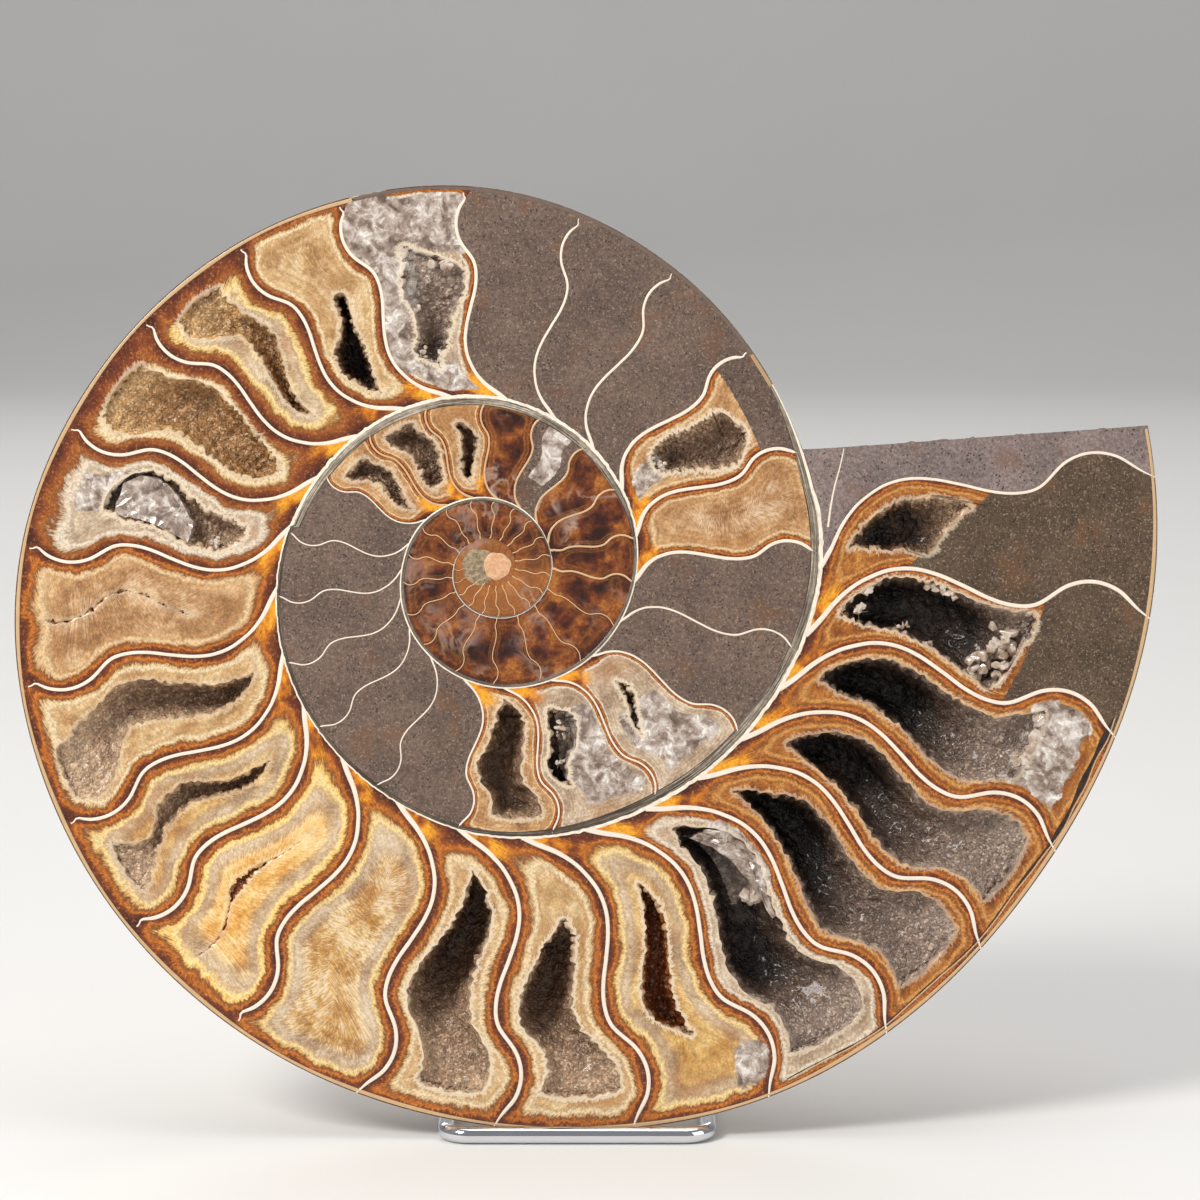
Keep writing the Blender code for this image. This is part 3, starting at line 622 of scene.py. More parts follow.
# Hollows by chamber: depth in millimetres, and rows of the share u with the hollow's two sides
# in s, all in percent.
HOLLOWS = {
    17: (4.5, ((26, 44, 52), (33, 36, 62), (45, 32, 66), (58, 27, 65), (70, 24, 61),
        (81, 34, 53))),
    18: (4.5, ((29, 50, 62), (34, 22, 67), (45, 16, 74), (58, 15, 73), (72, 15, 75),
        (89, 19, 77))),
    19: (4, ((25, 45, 52), (34, 38, 62), (46, 32, 65), (60, 27, 63), (72, 25, 68), (86, 24, 76))),
    26: (8, ((14, 56, 64), (22, 34, 74), (34, 21, 78), (48, 18, 79), (62, 12, 77), (76, 22, 78),
        (90, 22, 82))),
    27: (6, ((26, 24, 38), (33, 17, 55), (44, 18, 61), (55, 17, 53), (64, 12, 40), (76, 20, 28))),
    28: (3.5, ((31, 46, 52), (38, 43, 59), (47, 42, 56), (57, 35, 46), (66, 34, 38))),
    32: (5.5, ((31, 36, 66), (42, 27, 80), (55, 24, 81), (67, 14, 80), (75, 14, 72),
        (80, 18, 40))),
    36: (7, ((22, 42, 50), (31, 28, 67), (40, 20, 61), (50, 17, 64), (60, 12, 77), (70, 15, 73),
        (78, 45, 62))),
    37: (9, ((17, 54, 62), (25, 40, 70), (36, 31, 77), (47, 33, 75), (54, 41, 60), (67, 42, 58))),
    38: (6, ((27, 50, 55), (36, 48, 62), (50, 45, 63), (64, 36, 63), (75, 33, 61), (83, 27, 76),
        (91, 28, 76))),
    39: (6.5, ((21, 50, 57), (28, 30, 67), (40, 19, 74), (56, 19, 77), (72, 20, 78), (84, 18, 81),
        (91, 22, 79))),
    40: (5, ((24, 40, 66), (33, 30, 75), (46, 27, 77), (60, 22, 76), (72, 23, 75), (78, 30, 60))),
    42: (8, ((20, 46, 54), (28, 38, 60), (42, 30, 64), (58, 27, 65), (72, 24, 63), (84, 24, 82),
        (93, 42, 85))),
    43: (6, ((31, 46, 53), (38, 42, 58), (48, 43, 60), (60, 33, 57), (72, 34, 58), (80, 40, 56),
        (90, 23, 75))),
    46: (13, ((20, 53, 58), (28, 38, 65), (40, 30, 71), (54, 23, 72), (68, 20, 77), (82, 22, 77),
        (91.5, 24, 75))),
    47: (11, ((38, 45, 56), (46, 32, 66), (58, 24, 71), (70, 21, 72), (80, 24, 75), (90, 16, 80))),
    48: (9, ((30, 45, 52), (40, 42, 62), (52, 41, 65), (64, 36, 65), (74, 38, 60), (78, 44, 52))),
    49: (14, ((15, 42, 60), (23, 25, 76), (36, 21, 83), (50, 21, 84), (66, 21, 85), (80, 17, 84),
        (92, 12, 81))),
    50: (15, ((16, 42, 50), (25, 26, 60), (36, 19, 73), (50, 18, 80), (66, 17, 83), (80, 17, 83),
        (92.5, 14, 81))),
    51: (15, ((18, 38, 55), (26, 21, 68), (38, 15, 80), (52, 17, 83), (66, 16, 83), (80, 14, 82),
        (92.5, 14, 81))),
    52: (15, ((15, 52, 72), (24, 27, 78), (38, 21, 82), (52, 21, 84), (66, 20, 87), (76, 16, 84),
        (82, 13, 80))),
    53: (13, ((13, 60, 80), (22, 28, 87), (34, 18, 88), (48, 16, 90), (60, 15, 93), (68, 16, 94),
        (72, 62, 93))),
    54: (9, ((13, 55, 66), (22, 30, 73), (31, 22, 76), (40, 19, 79), (46, 48, 81), (52, 75, 83))),
}
# Narrow cracks in chambers that are otherwise filled, written the same way.
CRACKS = {
    41: (1.6, ((41.5, 52, 54), (46, 50, 56), (49, 51.5, 53.5), (53, 45.5, 53), (56, 48, 50),
        (60, 41, 48), (64, 44, 46), (68, 40, 47), (72, 43, 45.5), (77, 42, 50), (82, 45, 47.5),
        (90, 45, 52))),
    44: (1.6, ((36, 47, 49), (50, 46.5, 49), (60, 43, 50), (68, 41, 53), (75, 44, 50),
        (82, 42, 45), (90, 40, 44))),
}
# Where the rings of a chamber without a hollow end.
SOLID_SPINE = ((25, 49.5, 50.5), (80, 49.5, 50.5))
CRUST_CHAMBERS = sorted(HOLLOWS)


def crust_of(k):
    """The solid that holds the crystals of a hollow."""
    return f"crystal_crust_{CRUST_CHAMBERS.index(k) + 1:02d}"


# How each chamber is filled, with shares u and s and strengths from 0 to 1:
# fill and void are tones, rust and glow the width and colour of the stain along the walls,
# banded how far it shows and wisps and plumes pale streaks. ice holds boxes of s and u with
# white crystals, mud the shares u at the two sides beyond which mudstone fills the chamber.
# In a hollow, painted_black_at is the depth in millimetres at which the painted shade of its
# floor turns black, ramp the share u beyond which its floor rises, lip the strength of the pale
# teeth around it, and top how near the outer wall counts against the other walls.
LOOKS = {
    **dict.fromkeys((12, 13, 14), dict(fill="umber", banded=0.3, wisps=0.95)),
    15: dict(fill="grey", ice=((0.25, 0.75, 0.45, 0.98),), mud=(-1.0, -1.0)),
    16: dict(fill="umber", rust=1.5, banded=0.5, wisps=0.7),
    17: dict(fill="tan", painted_black_at=6.5, lip=0.5),
    18: dict(fill="tan", painted_black_at=7.0, lip=0.5),
    19: dict(fill="tan", painted_black_at=6.5, lip=0.5),
    26: dict(fill="tan", painted_black_at=12.0, lip=0.6),
    27: dict(fill="grey", painted_black_at=5.0, ice=((0.3, 0.9, 0.3, 0.9),)),
    28: dict(fill="grey", painted_black_at=3.5, ice=((0.2, 0.85, 0.5, 0.9),)),
    31: dict(fill="tan", rust=0.9, plumes=0.35),
    32: dict(fill="tan", painted_black_at=10.0, mud=(0.84, 0.84), ice=((0.25, 0.65, 0.1, 0.33),)),
    36: dict(fill="grey", painted_black_at=24.0, ramp=0.5, rust=0.8, glow=(186, 104, 30), void="grey",
             ice=((0.0, 1.0, 0.76, 0.97), (0.65, 1.0, 0.2, 1.0), (0.2, 0.8, 0.05, 0.24))),
    37: dict(fill="cream", painted_black_at=9.5, rust=1.2, glow=(160, 90, 36), lip=0.5, plumes=0.2),
    38: dict(fill="yellow", painted_black_at=14.0, rust=1.9, glow=(146, 80, 36), ramp=0.6, top=0.5,
             void="gold", lip=0.5),
    39: dict(fill="cream", painted_black_at=17.0, rust=1.9, glow=(146, 80, 36), ramp=0.7, top=0.45,
             void="gold", lip=0.5),
    40: dict(fill="grey", painted_black_at=13.0, rust=1.5, glow=(150, 84, 36), top=0.4,
             ice=((0.2, 0.55, 0.72, 0.88),)),
    41: dict(fill="tan", rust=1.5, void="rust", painted_black_at=2.0, top=0.5, lip=0.15, plumes=0.2),
    42: dict(fill="cream", painted_black_at=22.0, ramp=0.6, rust=1.6, top=0.6, lip=0.35),
    43: dict(fill="yellow", painted_black_at=18.0, ramp=0.6, rust=1.6, top=0.6, lip=0.35),
    44: dict(fill="golden", rust=1.7, top=0.6, lip=0.2, plumes=0.25, void="rust", painted_black_at=2.4),
    45: dict(fill="yellow", rust=1.6, plumes=0.5),
    46: dict(fill="cream", painted_black_at=17.0, ramp=0.5, rust=1.8),
    47: dict(fill="cream", painted_black_at=16.0, ramp=0.6, rust=1.8),
    48: dict(fill="yellow", painted_black_at=21.0, rust=1.7, void="rust", ice=((0.7, 0.95, 0.86, 0.96),)),
    49: dict(fill="grey", painted_black_at=15.0, ramp=0.65, rust=1.2, void="grey", lip=0.5,
             ice=((0.4, 0.9, 0.2, 0.5),)),
    **dict.fromkeys((50, 51), dict(
        fill="amber", painted_black_at=15.0, ramp=0.42, rust=1.3, void="grey", lip=0.35)),
    52: dict(fill="amber", painted_black_at=15.0, ramp=0.42, rust=1.3, void="grey", lip=0.4,
             ice=((0.1, 0.9, 0.8, 0.94),)),
    53: dict(fill="amber", painted_black_at=11.0, ramp=0.5, void="grey", mud=(0.71, 0.75), lip=0.6),
    54: dict(fill="amber", painted_black_at=9.0, ramp=0.3, mud=(0.33, 0.6), lip=0.5),
}
MUD_CHAMBERS = (20, 21, 22, 23, 24, 25, 29, 30, 33, 34, 35, 55)


def loop(left, right, height):
    """A closed line that goes up one side and comes down the other."""
    return np.concatenate([pair(left, height), pair(right[::-1], height[::-1])])


# Points along the sides and around the ends of a chamber, its rings on the face without and
# with a hollow, and the rings inside the hollow.
FINE = dict(side=104, cap=20, solid=20, face=16, hollow=28)
COARSE = dict(side=56, cap=12, solid=14, face=9, hollow=18)
# How sharply the nearest wall of a chamber wins over the others.
WALL_BLEND = 1.6
# Radius of the circle on which the fibres' noise is read, and its step per millimetre inward.
FIBRE_TURN = 2 * 60.0 / (2 * np.pi)
FIBRE_STEP = 0.32
# Raggedness of a hollow's rim in millimetres, less where the hollow is narrower than the second.
JAG = 0.22
JAG_FULL_AT = 1.6
# How far a hollow's floor rises toward the outer end, and from which share u if no look says.
FLOOR_RISE = 0.72
FLOOR_RAMP = 0.85
# Distances from the inner turn at which its orange stain is gone and full, in millimetres.
STAIN_REACH = (8.0, 1.5)
ICE_EDGE_S = 0.06
ICE_EDGE_U = 0.03
POINTS_PER_CRYSTAL = 14
FEWEST_CRYSTALS = 12
CRYSTAL_REACH = 1.2
# Farther than any look reaches, in millimetres and as a share.
FAR = 9.0


class Chamber:
    """Mesh of one chamber: rings from its walls to its middle, down into a hollow if open."""

    def __init__(self, k, fine):
        self.k = k
        self.look = LOOKS.get(k, dict(fill="umber"))
        self.open = k in HOLLOWS or k in CRACKS
        self.depth, rows = HOLLOWS.get(k, CRACKS.get(k, (0.0, SOLID_SPINE)))
        self.rows = np.array(rows) / 100
        mesh = FINE if fine else COARSE
        self.side, self.cap = mesh["side"], mesh["cap"]
        self.count = 2 * (self.side + 2 * self.cap)
        self.face_rings = mesh["face"] if self.open else mesh["solid"]
        self.hollow_rings = mesh["hollow"] if self.open else 0

    def loops(self):
        """The chamber's boundary, its hollow's rim and the line that the floor sinks to."""
        cap = np.linspace(0.5 / self.cap, 1, self.cap)
        side = np.linspace(0, 1, self.side + 2)[1:-1]
        edge = np.concatenate([pair(0.5 * cap, 0 * cap), pair(0.5 + 0 * side, side),
                               pair(0.5 * cap[::-1], 0 * cap + 1)])
        left, right = Curve(self.rows[:, (0, 1)]), Curve(self.rows[:, (0, 2)])
        low, high = self.rows[0, 0], self.rows[-1, 0]
        quarter = np.sin(cap * np.pi / 2)
        drop = 0.02 * np.cos(cap * np.pi / 2)
        heights = np.concatenate([low - drop, low + (high - low) * side, high + drop[::-1]])
        widths = np.concatenate([quarter, np.ones(self.side), quarter[::-1]])
        middle = (left(heights) + right(heights)) / 2
        half = (right(heights) - left(heights)) / 2 * widths
        lowest = middle - 0.3 * half * self.open
        return (loop(0.5 - edge[:, 0], 0.5 + edge[:, 0], edge[:, 1]),
                loop(middle - half, middle + half, heights), loop(lowest, lowest, heights))

    def build(self):
        outer, inner, spine = self.loops()
        count = self.count
        jag = np.interp(np.arange(count) * 0.5, np.arange(count), rng.normal(0, 1, count))
        t = np.linspace(0, 1, self.face_rings + 1)
        t = t + 0.25 * np.sin(np.pi * t) * t * self.open
        tau = np.linspace(0, 1, self.hollow_rings + 1)[1:]
        shrink = np.maximum(1 - tau**1.9, 0.03)
        place = np.concatenate([outer + (inner - outer) * t[:, None, None],
                                spine + (inner - spine) * shrink[:, None, None]])
        right, up = chamber_point(self.k, place[..., 0], place[..., 1])
        toward = pair(*chamber_point(self.k, spine[:, 0], spine[:, 1]))
        direction = toward - pair(right[self.face_rings], up[self.face_rings])
        half_width = np.linalg.norm(direction, axis=-1)
        direction /= np.maximum(half_width[:, None], 0.3)
        wobble = JAG * jag * self.open * np.clip(half_width / JAG_FULL_AT, 0, 1) ** 1.5
        weight = np.concatenate([t**4, shrink])[:, None]
        right = right + weight * wobble * direction[:, 0]
        up = up + weight * wobble * direction[:, 1]
        fall = np.concatenate([0 * t, 1 - (1 - tau) ** 2.2])[:, None]
        depth = self.floor(place[..., 1]) * fall
        self.set_values(place, right, up, depth)
        points = np.stack([right, up, depth], -1)
        if self.open:
            points = self.crystals(points)
        i = np.arange(count // 2 - 1)
        zip_up = np.stack([i, i + 1, count - 2 - i, count - 1 - i], -1)
        faces = np.concatenate([grid_faces(len(place), count, closed=True),
                                zip_up + (len(place) - 1) * count])
        return in_world(*np.moveaxis(points, -1, 0)).reshape(-1, 3), faces

    def floor(self, u):
        """Depth of the hollow's floor: it rises toward the outer end of the chamber."""
        if not self.open:
            return 0.0 * u
        start, end = self.rows[0, 0], self.rows[-1, 0]
        ramp = self.look.get("ramp", FLOOR_RAMP)
        rise = smooth(ramp, end + 0.02, u) * FLOOR_RISE if ramp < end else 0.0
        return self.depth * (1 - rise) * (smooth(start - 0.03, start + 0.1, u) * 0.5 + 0.5)

    def set_values(self, place, right, up, depth):
        """What the materials read at every point."""
        flat = pair(right, up).reshape(-1, 2)
        s, u = place.reshape(-1, 2).T
        t = np.linspace(0, 1, 160)
        left, across, foot, top = (
            nearest(flat, pair(*chamber_point(self.k, *line)))
            for line in ((0 * t, t), (0 * t + 1, t), (t, 0 * t), (t, 0 * t + 1)))
        blend = sum(np.exp(-WALL_BLEND * d) for d in (
            left, across, 0.5 * foot, self.look.get("top", 0.9) * top))
        edge = np.maximum(-np.log(blend) / WALL_BLEND, 0.0)
        hole = np.full(len(flat), FAR)
        if self.open:
            hole = nearest(flat, pair(right[self.face_rings], up[self.face_rings]))
        ring = np.repeat(np.arange(len(place)), self.count)
        swing = np.clip(1.35 - 1.9 * s, 0, 1) * (self.look["fill"] != "umber")
        around = np.linspace(0, 2 * np.pi, self.count, endpoint=False)
        circle = np.tile(pair(np.cos(around), np.sin(around)) * FIBRE_TURN, (len(place), 1))
        start, end = self.look.get("mud", (FAR, FAR))
        mud = smooth(-0.01, 0.012, u - start - (end - start) * s)
        self.values = {
            "edge": edge,
            "hole": np.where(ring > self.face_rings, -hole, hole),
            "deep": depth.ravel(),
            "foot": smooth(*STAIN_REACH, foot * (1 + 0.6 * s)) * swing,
            "grain": np.concatenate([circle, FIBRE_STEP * edge[:, None]], -1),
            "ice": self.icy(s, u),
            "mud": np.ones_like(s) if self.k in MUD_CHAMBERS else mud,
            "cell": np.full(len(s), 0.5),
        }

    def icy(self, s, u):
        """How far each point lies within a box of white crystals."""
        mask = np.zeros_like(s)
        for low_s, high_s, low_u, high_u in self.look.get("ice", ()):
            inside = 1.0
            for x, low, high, edge in ((s, low_s, high_s, ICE_EDGE_S),
                                       (u, low_u, high_u, ICE_EDGE_U)):
                inside = inside * smooth(low - edge, low + edge, x)
                inside = inside * smooth(high + edge, high - edge, x)
            mask = np.maximum(mask, inside)
        return mask

    def crystals(self, points):
        """Pushes small pointed crystals out of the hollow's walls and floor."""
        along = np.roll(points, -1, 1) - np.roll(points, 1, 1)
        down = np.gradient(points, axis=0)
        normal = np.cross(along, down)
        normal /= np.maximum(np.linalg.norm(normal, axis=-1, keepdims=True), 1e-6)
        normal *= np.sign(np.sum(normal[self.face_rings + 3, :, 2]) + 1e-9) * -1
        inside = points[self.face_rings:]
        flat = inside.reshape(-1, 3)
        count = max(len(flat) // POINTS_PER_CRYSTAL, FEWEST_CRYSTALS)
        tree = KDTree(count)
        for i, seed in enumerate(flat[rng.choice(len(flat), count, replace=False)]):
            tree.insert(seed, i)
        tree.balance()
        index, distance = np.array([tree.find(p)[1:] for p in flat]).T
        index = index.astype(int)
        size = rng.uniform(0.2, 1.0, count) ** 1.3
        lift = size[index] * np.clip(1 - distance / CRYSTAL_REACH, -0.3, 1)
        lift = lift.reshape(inside.shape[:2])
        lift[0] = 0
        lift[1] *= 0.5
        moved = points.copy()
        moved[self.face_rings:] += normal[self.face_rings:] * lift[..., None]
        moved[..., 2] = np.maximum(moved[..., 2], 0.0)
        self.values["cell"][self.face_rings * self.count:] = rng.uniform(0, 1, count)[index]
        return moved


# From this chamber on the mudstone is olive. The stain is this much narrower further in.
FIRST_OLIVE = 52
INNER_RUST = 0.5


def chamber_material(k, look):
    """The fill of a chamber that has a look of its own."""
    look = {key: value for key, value in look.items() if key not in ("ramp", "top")}
    look["rust"] = look.get("rust", 1.0) * (1.0 if k >= FIRST_OUTER else INNER_RUST)
    look["ice"] = "ice" in look
    look["mud"] = (MUD_OLIVE if k >= FIRST_OLIVE else MUD) if "mud" in look else None
    return stone_material(f"chamber_fill_{k}", **look)


def build_chambers():
    mudstone = mud_material("mudstone", MUD)
    mouthstone = mud_material("mouth_mudstone", MUD_PURPLE)
    umber = stone_material("inner_calcite", "umber", rust=0.5, banded=0.3, wisps=0.35)
    for k in range(FIRST_MIDDLE, len(TIPS)):
        chamber = Chamber(k, fine=k >= FIRST_OUTER)
        points, faces = chamber.build()
        material = umber
        if k in MUD_CHAMBERS:
            material = mouthstone if k == len(TIPS) - 1 else mudstone
        elif k in LOOKS:
            material = chamber_material(k, chamber.look)
        replaces, slot = ["ammonite"], "fossil_stone"
        if k in HOLLOWS:
            replaces, slot = ["ammonite", crust_of(k)], "crystal"
        piece = make_piece(f"chamber_{k:02d}", points, faces, material, chamber.values, replaces,
                           slot)
        # The part on the cut face is flat, only the hollow is smooth.
        in_hollow = np.arange(len(faces)) >= chamber.face_rings * chamber.count
        piece.data.polygons.foreach_set("use_smooth", in_hollow)


CORE_FIRST = -34


def build_core():
    """The innermost turns, chamber after chamber in one piece."""
    s = np.linspace(0, 1, 8, endpoint=False)
    u = np.linspace(0, 1, 22)
    columns = [(k, share) for k in range(CORE_FIRST, FIRST_MIDDLE) for share in s]
    columns.append((FIRST_MIDDLE, 0.0))
    right, up, edge = [], [], []
    for k, share in columns:
        x, y = chamber_point(k, share, u)
        near = np.hypot(x - SPIRAL_RIGHT, y - SPIRAL_UP) * np.radians(CORE_TIP_STEP)
        right.append(x)
        up.append(y)
        edge.append(np.minimum(near * min(share, 1 - share), np.minimum(u, 1 - u) * 4))
    edge = np.array(edge).ravel()
    turn = np.repeat(np.arange(len(columns)), len(u))
    place = np.repeat([k + share for k, share in columns], len(u))
    values = {
        "edge": edge, "warm": smooth(-3.0, -8.0, place),
        "grain": np.stack([turn * 0.35, np.tile(u, len(columns)) * 3, 0 * edge], -1)}
    material = stone_material("inner_coil", "umber", 0.35, banded=0.3, wisps=0.4)
    make_sheet("inner_coil", np.array(right), np.array(up), 0.0, material, values)


def ribbon(name, right, up, low, high, material, profile, extra=None, flip=False):
    """A thin raised strip along a line on the face, from low to high beside it."""
    line = pair(right, up)
    along = np.gradient(line, axis=0)
    length = np.concatenate([[0], np.cumsum(np.linalg.norm(np.diff(line, axis=0), axis=1))])
    normal = pair(-along[:, 1], along[:, 0])
    normal /= np.linalg.norm(normal, axis=1, keepdims=True)
    share, height = np.array(profile).T
    offset = low[:, None] + (high - low)[:, None] * (share + 1) / 2
    x = right[:, None] + normal[:, :1] * offset
    y = up[:, None] + normal[:, 1:] * offset
    values = {"across": np.tile(share, len(line)), "along": np.repeat(length, len(share))}
    for key, numbers in (extra or {}).items():
        values[key] = np.repeat(numbers, len(share))
    make_sheet(name, x, y, -height, material, values, flip=flip)


# Heights across a strip, from -1 at its low side to 1 at its high side.
LINE_PROFILE = ((-1.0, -0.05), (-0.7, 0.03), (-0.25, 0.05), (0.25, 0.05), (0.7, 0.03),
                (1.0, -0.05))
WALL_PROFILE = ((-1.0, -0.05), (-0.9, 0.04), (-0.6, 0.05), (-0.3, 0.05), (0.0, 0.05),
                (0.3, 0.06), (0.6, 0.06), (1.0, -0.05))
SLIT_PROFILE = ((-1.0, 0.0), (-0.5, 0.03), (0.5, 0.03), (1.0, 0.0))
FOOT_PROFILE = ((0.0, -0.05), (0.15, 0.04), (0.5, 0.045), (0.85, 0.04), (1.0, -0.05))
FOOT_SPAN = 0.07
# The chamber walls of these stop short of the spiral wall, with a small hook.
SHORT_SEPTA = range(33, 46)
SHORT_END = 0.978
SHORT_HOOK = 0.9
# Half widths of the chamber walls in millimetres, and the walls that are thinner than that.
LAST_HALF = 0.5
OUTER_HALF = 0.42
MIDDLE_HALF = 0.24
CORE_HALF = 0.12
THIN_OUTER = (34, 35, 55)
THIN_MIDDLE = range(20, 26)
FIRST_WIDE = 44
FIRST_WHITE = 20
CORE_WALLS = 15


def build_septa():
    outer = line_material("septum", WHITE_LINE)
    inner = line_material("inner_septum", tone(222, 184, 136), core=tone(150, 84, 36))
    along = np.linspace(0.0, 1.0, 140) ** 1.25
    for k in range(-CORE_WALLS, len(TIPS)):
        short = k in SHORT_SEPTA
        u = along * (SHORT_END if short else 1.0)
        angle = septum_angle(k, u) + (SHORT_HOOK * smooth(0.975, 1.0, along) if short else 0.0)
        right, up = spiral_point(angle, u)
        if k >= FIRST_OUTER:
            half = OUTER_HALF if k < FIRST_WIDE else LAST_HALF
            half = (half + 0.16 * smooth(0.16, 0.03, u)) * (1 - 0.6 * smooth(0.94, 1.0, along))
            if k in THIN_OUTER:
                half = half * 0.72
            material = outer
        elif k >= FIRST_MIDDLE:
            half = MIDDLE_HALF + 0.06 * smooth(0.2, 0.0, u)
            if k in THIN_MIDDLE:
                half = half * 0.7
            material = outer if k >= FIRST_WHITE else inner
        else:
            half = (CORE_HALF + 0.04 * smooth(0.15, 0.0, u)) * (1.0 if k > -14 else 0.6)
            material = inner
        ribbon(f"septum_{k + CORE_WALLS:02d}", right, up, -half, half, material, LINE_PROFILE)
        if k >= FIRST_MIDDLE:
            build_foot(k, material)


def build_foot(k, material):
    """The white web between a chamber wall's foot and the spiral wall that it runs onto."""
    span = FOOT_SPAN if k >= FIRST_OUTER else 0.6 * FOOT_SPAN
    u = np.linspace(0.0, span, 24)
    low = u * smooth(0.0, span, u) ** 0.7
    share, height = np.array(FOOT_PROFILE).T
    heights = low[:, None] + (u - low)[:, None] * share
    right, up = spiral_point(np.repeat(septum_angle(k, u)[:, None], len(share), 1), heights)
    values = {"across": np.tile(0.3 * (share - 0.5), len(u)),
              "along": np.repeat(u * 60, len(share))}
    make_sheet(f"foot_{k:02d}", right, up, -height, material, values, flip=True)


def build_spiral_walls():
    material = wall_material()
    angle = np.arange(-347.6, 34.0, 0.8)[::-1]
    lap = angle + 360.0
    free = smooth(371.0, 374.0, lap)
    right, up = polar_point(angle, wall_radius(angle))
    upper = smooth(168.4, 167.6, lap)
    thick = 0.6 + 1.2 * smooth(12, 40, lap) * upper + 1.7 * smooth(255, 310, lap)
    thick = thick * (1 - 0.62 * smooth(374, 392, lap))
    grey = smooth(5, 60, lap) * upper + 0.7 * smooth(290, 330, lap)
    ragged = 0.07 * rng.normal(0, 1, len(angle))
    ribbon("wall_outer", right, up, -thick, 0.55 - 0.5 * free + ragged * (1 - free), material,
           WALL_PROFILE, {"grey": grey}, flip=True)
    for name, start, end, half in (("wall_middle", -707.6, -347.6, 0.5),
                                   ("wall_inner", -940.0, -707.6, 0.22)):
        angle = np.arange(start, end + 0.1, 1.0)[::-1]
        right, up = polar_point(angle, wall_radius(angle))
        wide = half * (0.3 + 0.7 * smooth(start, start + 60, angle))
        ribbon(name, right, up, -wide, wide, material, WALL_PROFILE,
               {"grey": 0.35 + 0 * angle}, flip=True)


# Lengths of the free edge, in degrees, and the colour of its outermost layer there.
RIM_PARTS = (
    ("rim_mouth", 33.0, 40.0, (190, 156, 116)), ("rim_mud", 39.4, 111.0, (118, 100, 88)),
    ("rim_layer", 110.4, SHELL_END, (214, 178, 132)),
)


def build_rim():
    """The outermost shell layer along the free edge of the face."""
    for name, start, end, colour in RIM_PARTS:
        material = line_material(name, tone(*colour), core=RUST_DARK)
        angle = np.arange(start, end + 0.1, 0.6)
        right, up = polar_point(angle, wall_radius(angle) - 0.1)
        half = 0.35 + 0.15 * np.sin(np.radians(angle * 7.3)) ** 2
        ribbon(name, right, up, 0 * angle, 2 * half, material, LINE_PROFILE)


# Loose lumps of clear and white crystal: chamber, s, u, depth, crystal size, how many and
# how far they spread, in millimetres.
LUMPS = (
    (27, 0.34, 0.42, 1.6, 1.4, 8, 1.6), (27, 0.30, 0.62, 1.4, 1.2, 6, 1.2),
    (32, 0.30, 0.36, 0.9, 1.2, 8, 1.6), (32, 0.45, 0.34, 1.2, 1.2, 6, 1.4),
    (36, 0.28, 0.74, 1.0, 2.6, 10, 2.6), (36, 0.62, 0.78, 0.8, 2.8, 9, 2.4),
    (36, 0.66, 0.52, 1.2, 1.8, 8, 2.0), (36, 0.30, 0.28, 1.0, 1.8, 8, 1.8),
    (36, 0.58, 0.30, 1.4, 1.6, 6, 1.4), (40, 0.66, 0.36, 2.0, 1.4, 8, 1.6),
    (49, 0.62, 0.50, 4.6, 3.0, 8, 2.0),
    (52, 0.30, 0.83, 1.2, 3.4, 9, 2.4), (52, 0.50, 0.85, 0.9, 4.4, 10, 3.0),
    (52, 0.72, 0.83, 1.0, 3.2, 9, 2.4), (53, 0.84, 0.20, 0.9, 2.2, 7, 2.0),
    (53, 0.62, 0.17, 1.0, 1.8, 6, 1.6), (53, 0.84, 0.42, 0.8, 2.2, 8, 2.6),
    (53, 0.88, 0.50, 0.8, 2.4, 6, 2.0), (53, 0.22, 0.36, 1.0, 1.6, 6, 1.8),
    (53, 0.18, 0.46, 1.0, 1.5, 5, 1.6), (53, 0.36, 0.62, 3.4, 3.0, 12, 3.6),
    (53, 0.55, 0.66, 3.0, 3.0, 12, 3.6), (53, 0.30, 0.68, 1.8, 2.2, 8, 2.4),
)


def crystal_material():
    shader = Shader("clear_crystal", 0.18, coat=(0.5, 0.08))
    milk = shader.noise(240, 5.0, 0.6, warp=0.4)
    colour = shader.ramp(milk, [
        (0.34, tone(140, 116, 98)), (0.46, tone(180, 158, 138)), (0.58, tone(220, 206, 192)),
        (0.68, tone(184, 164, 148))])
    return shader.finish(colour, shader.bump(milk, 0.3, 0.3))


BEVEL = 0.08 * MM


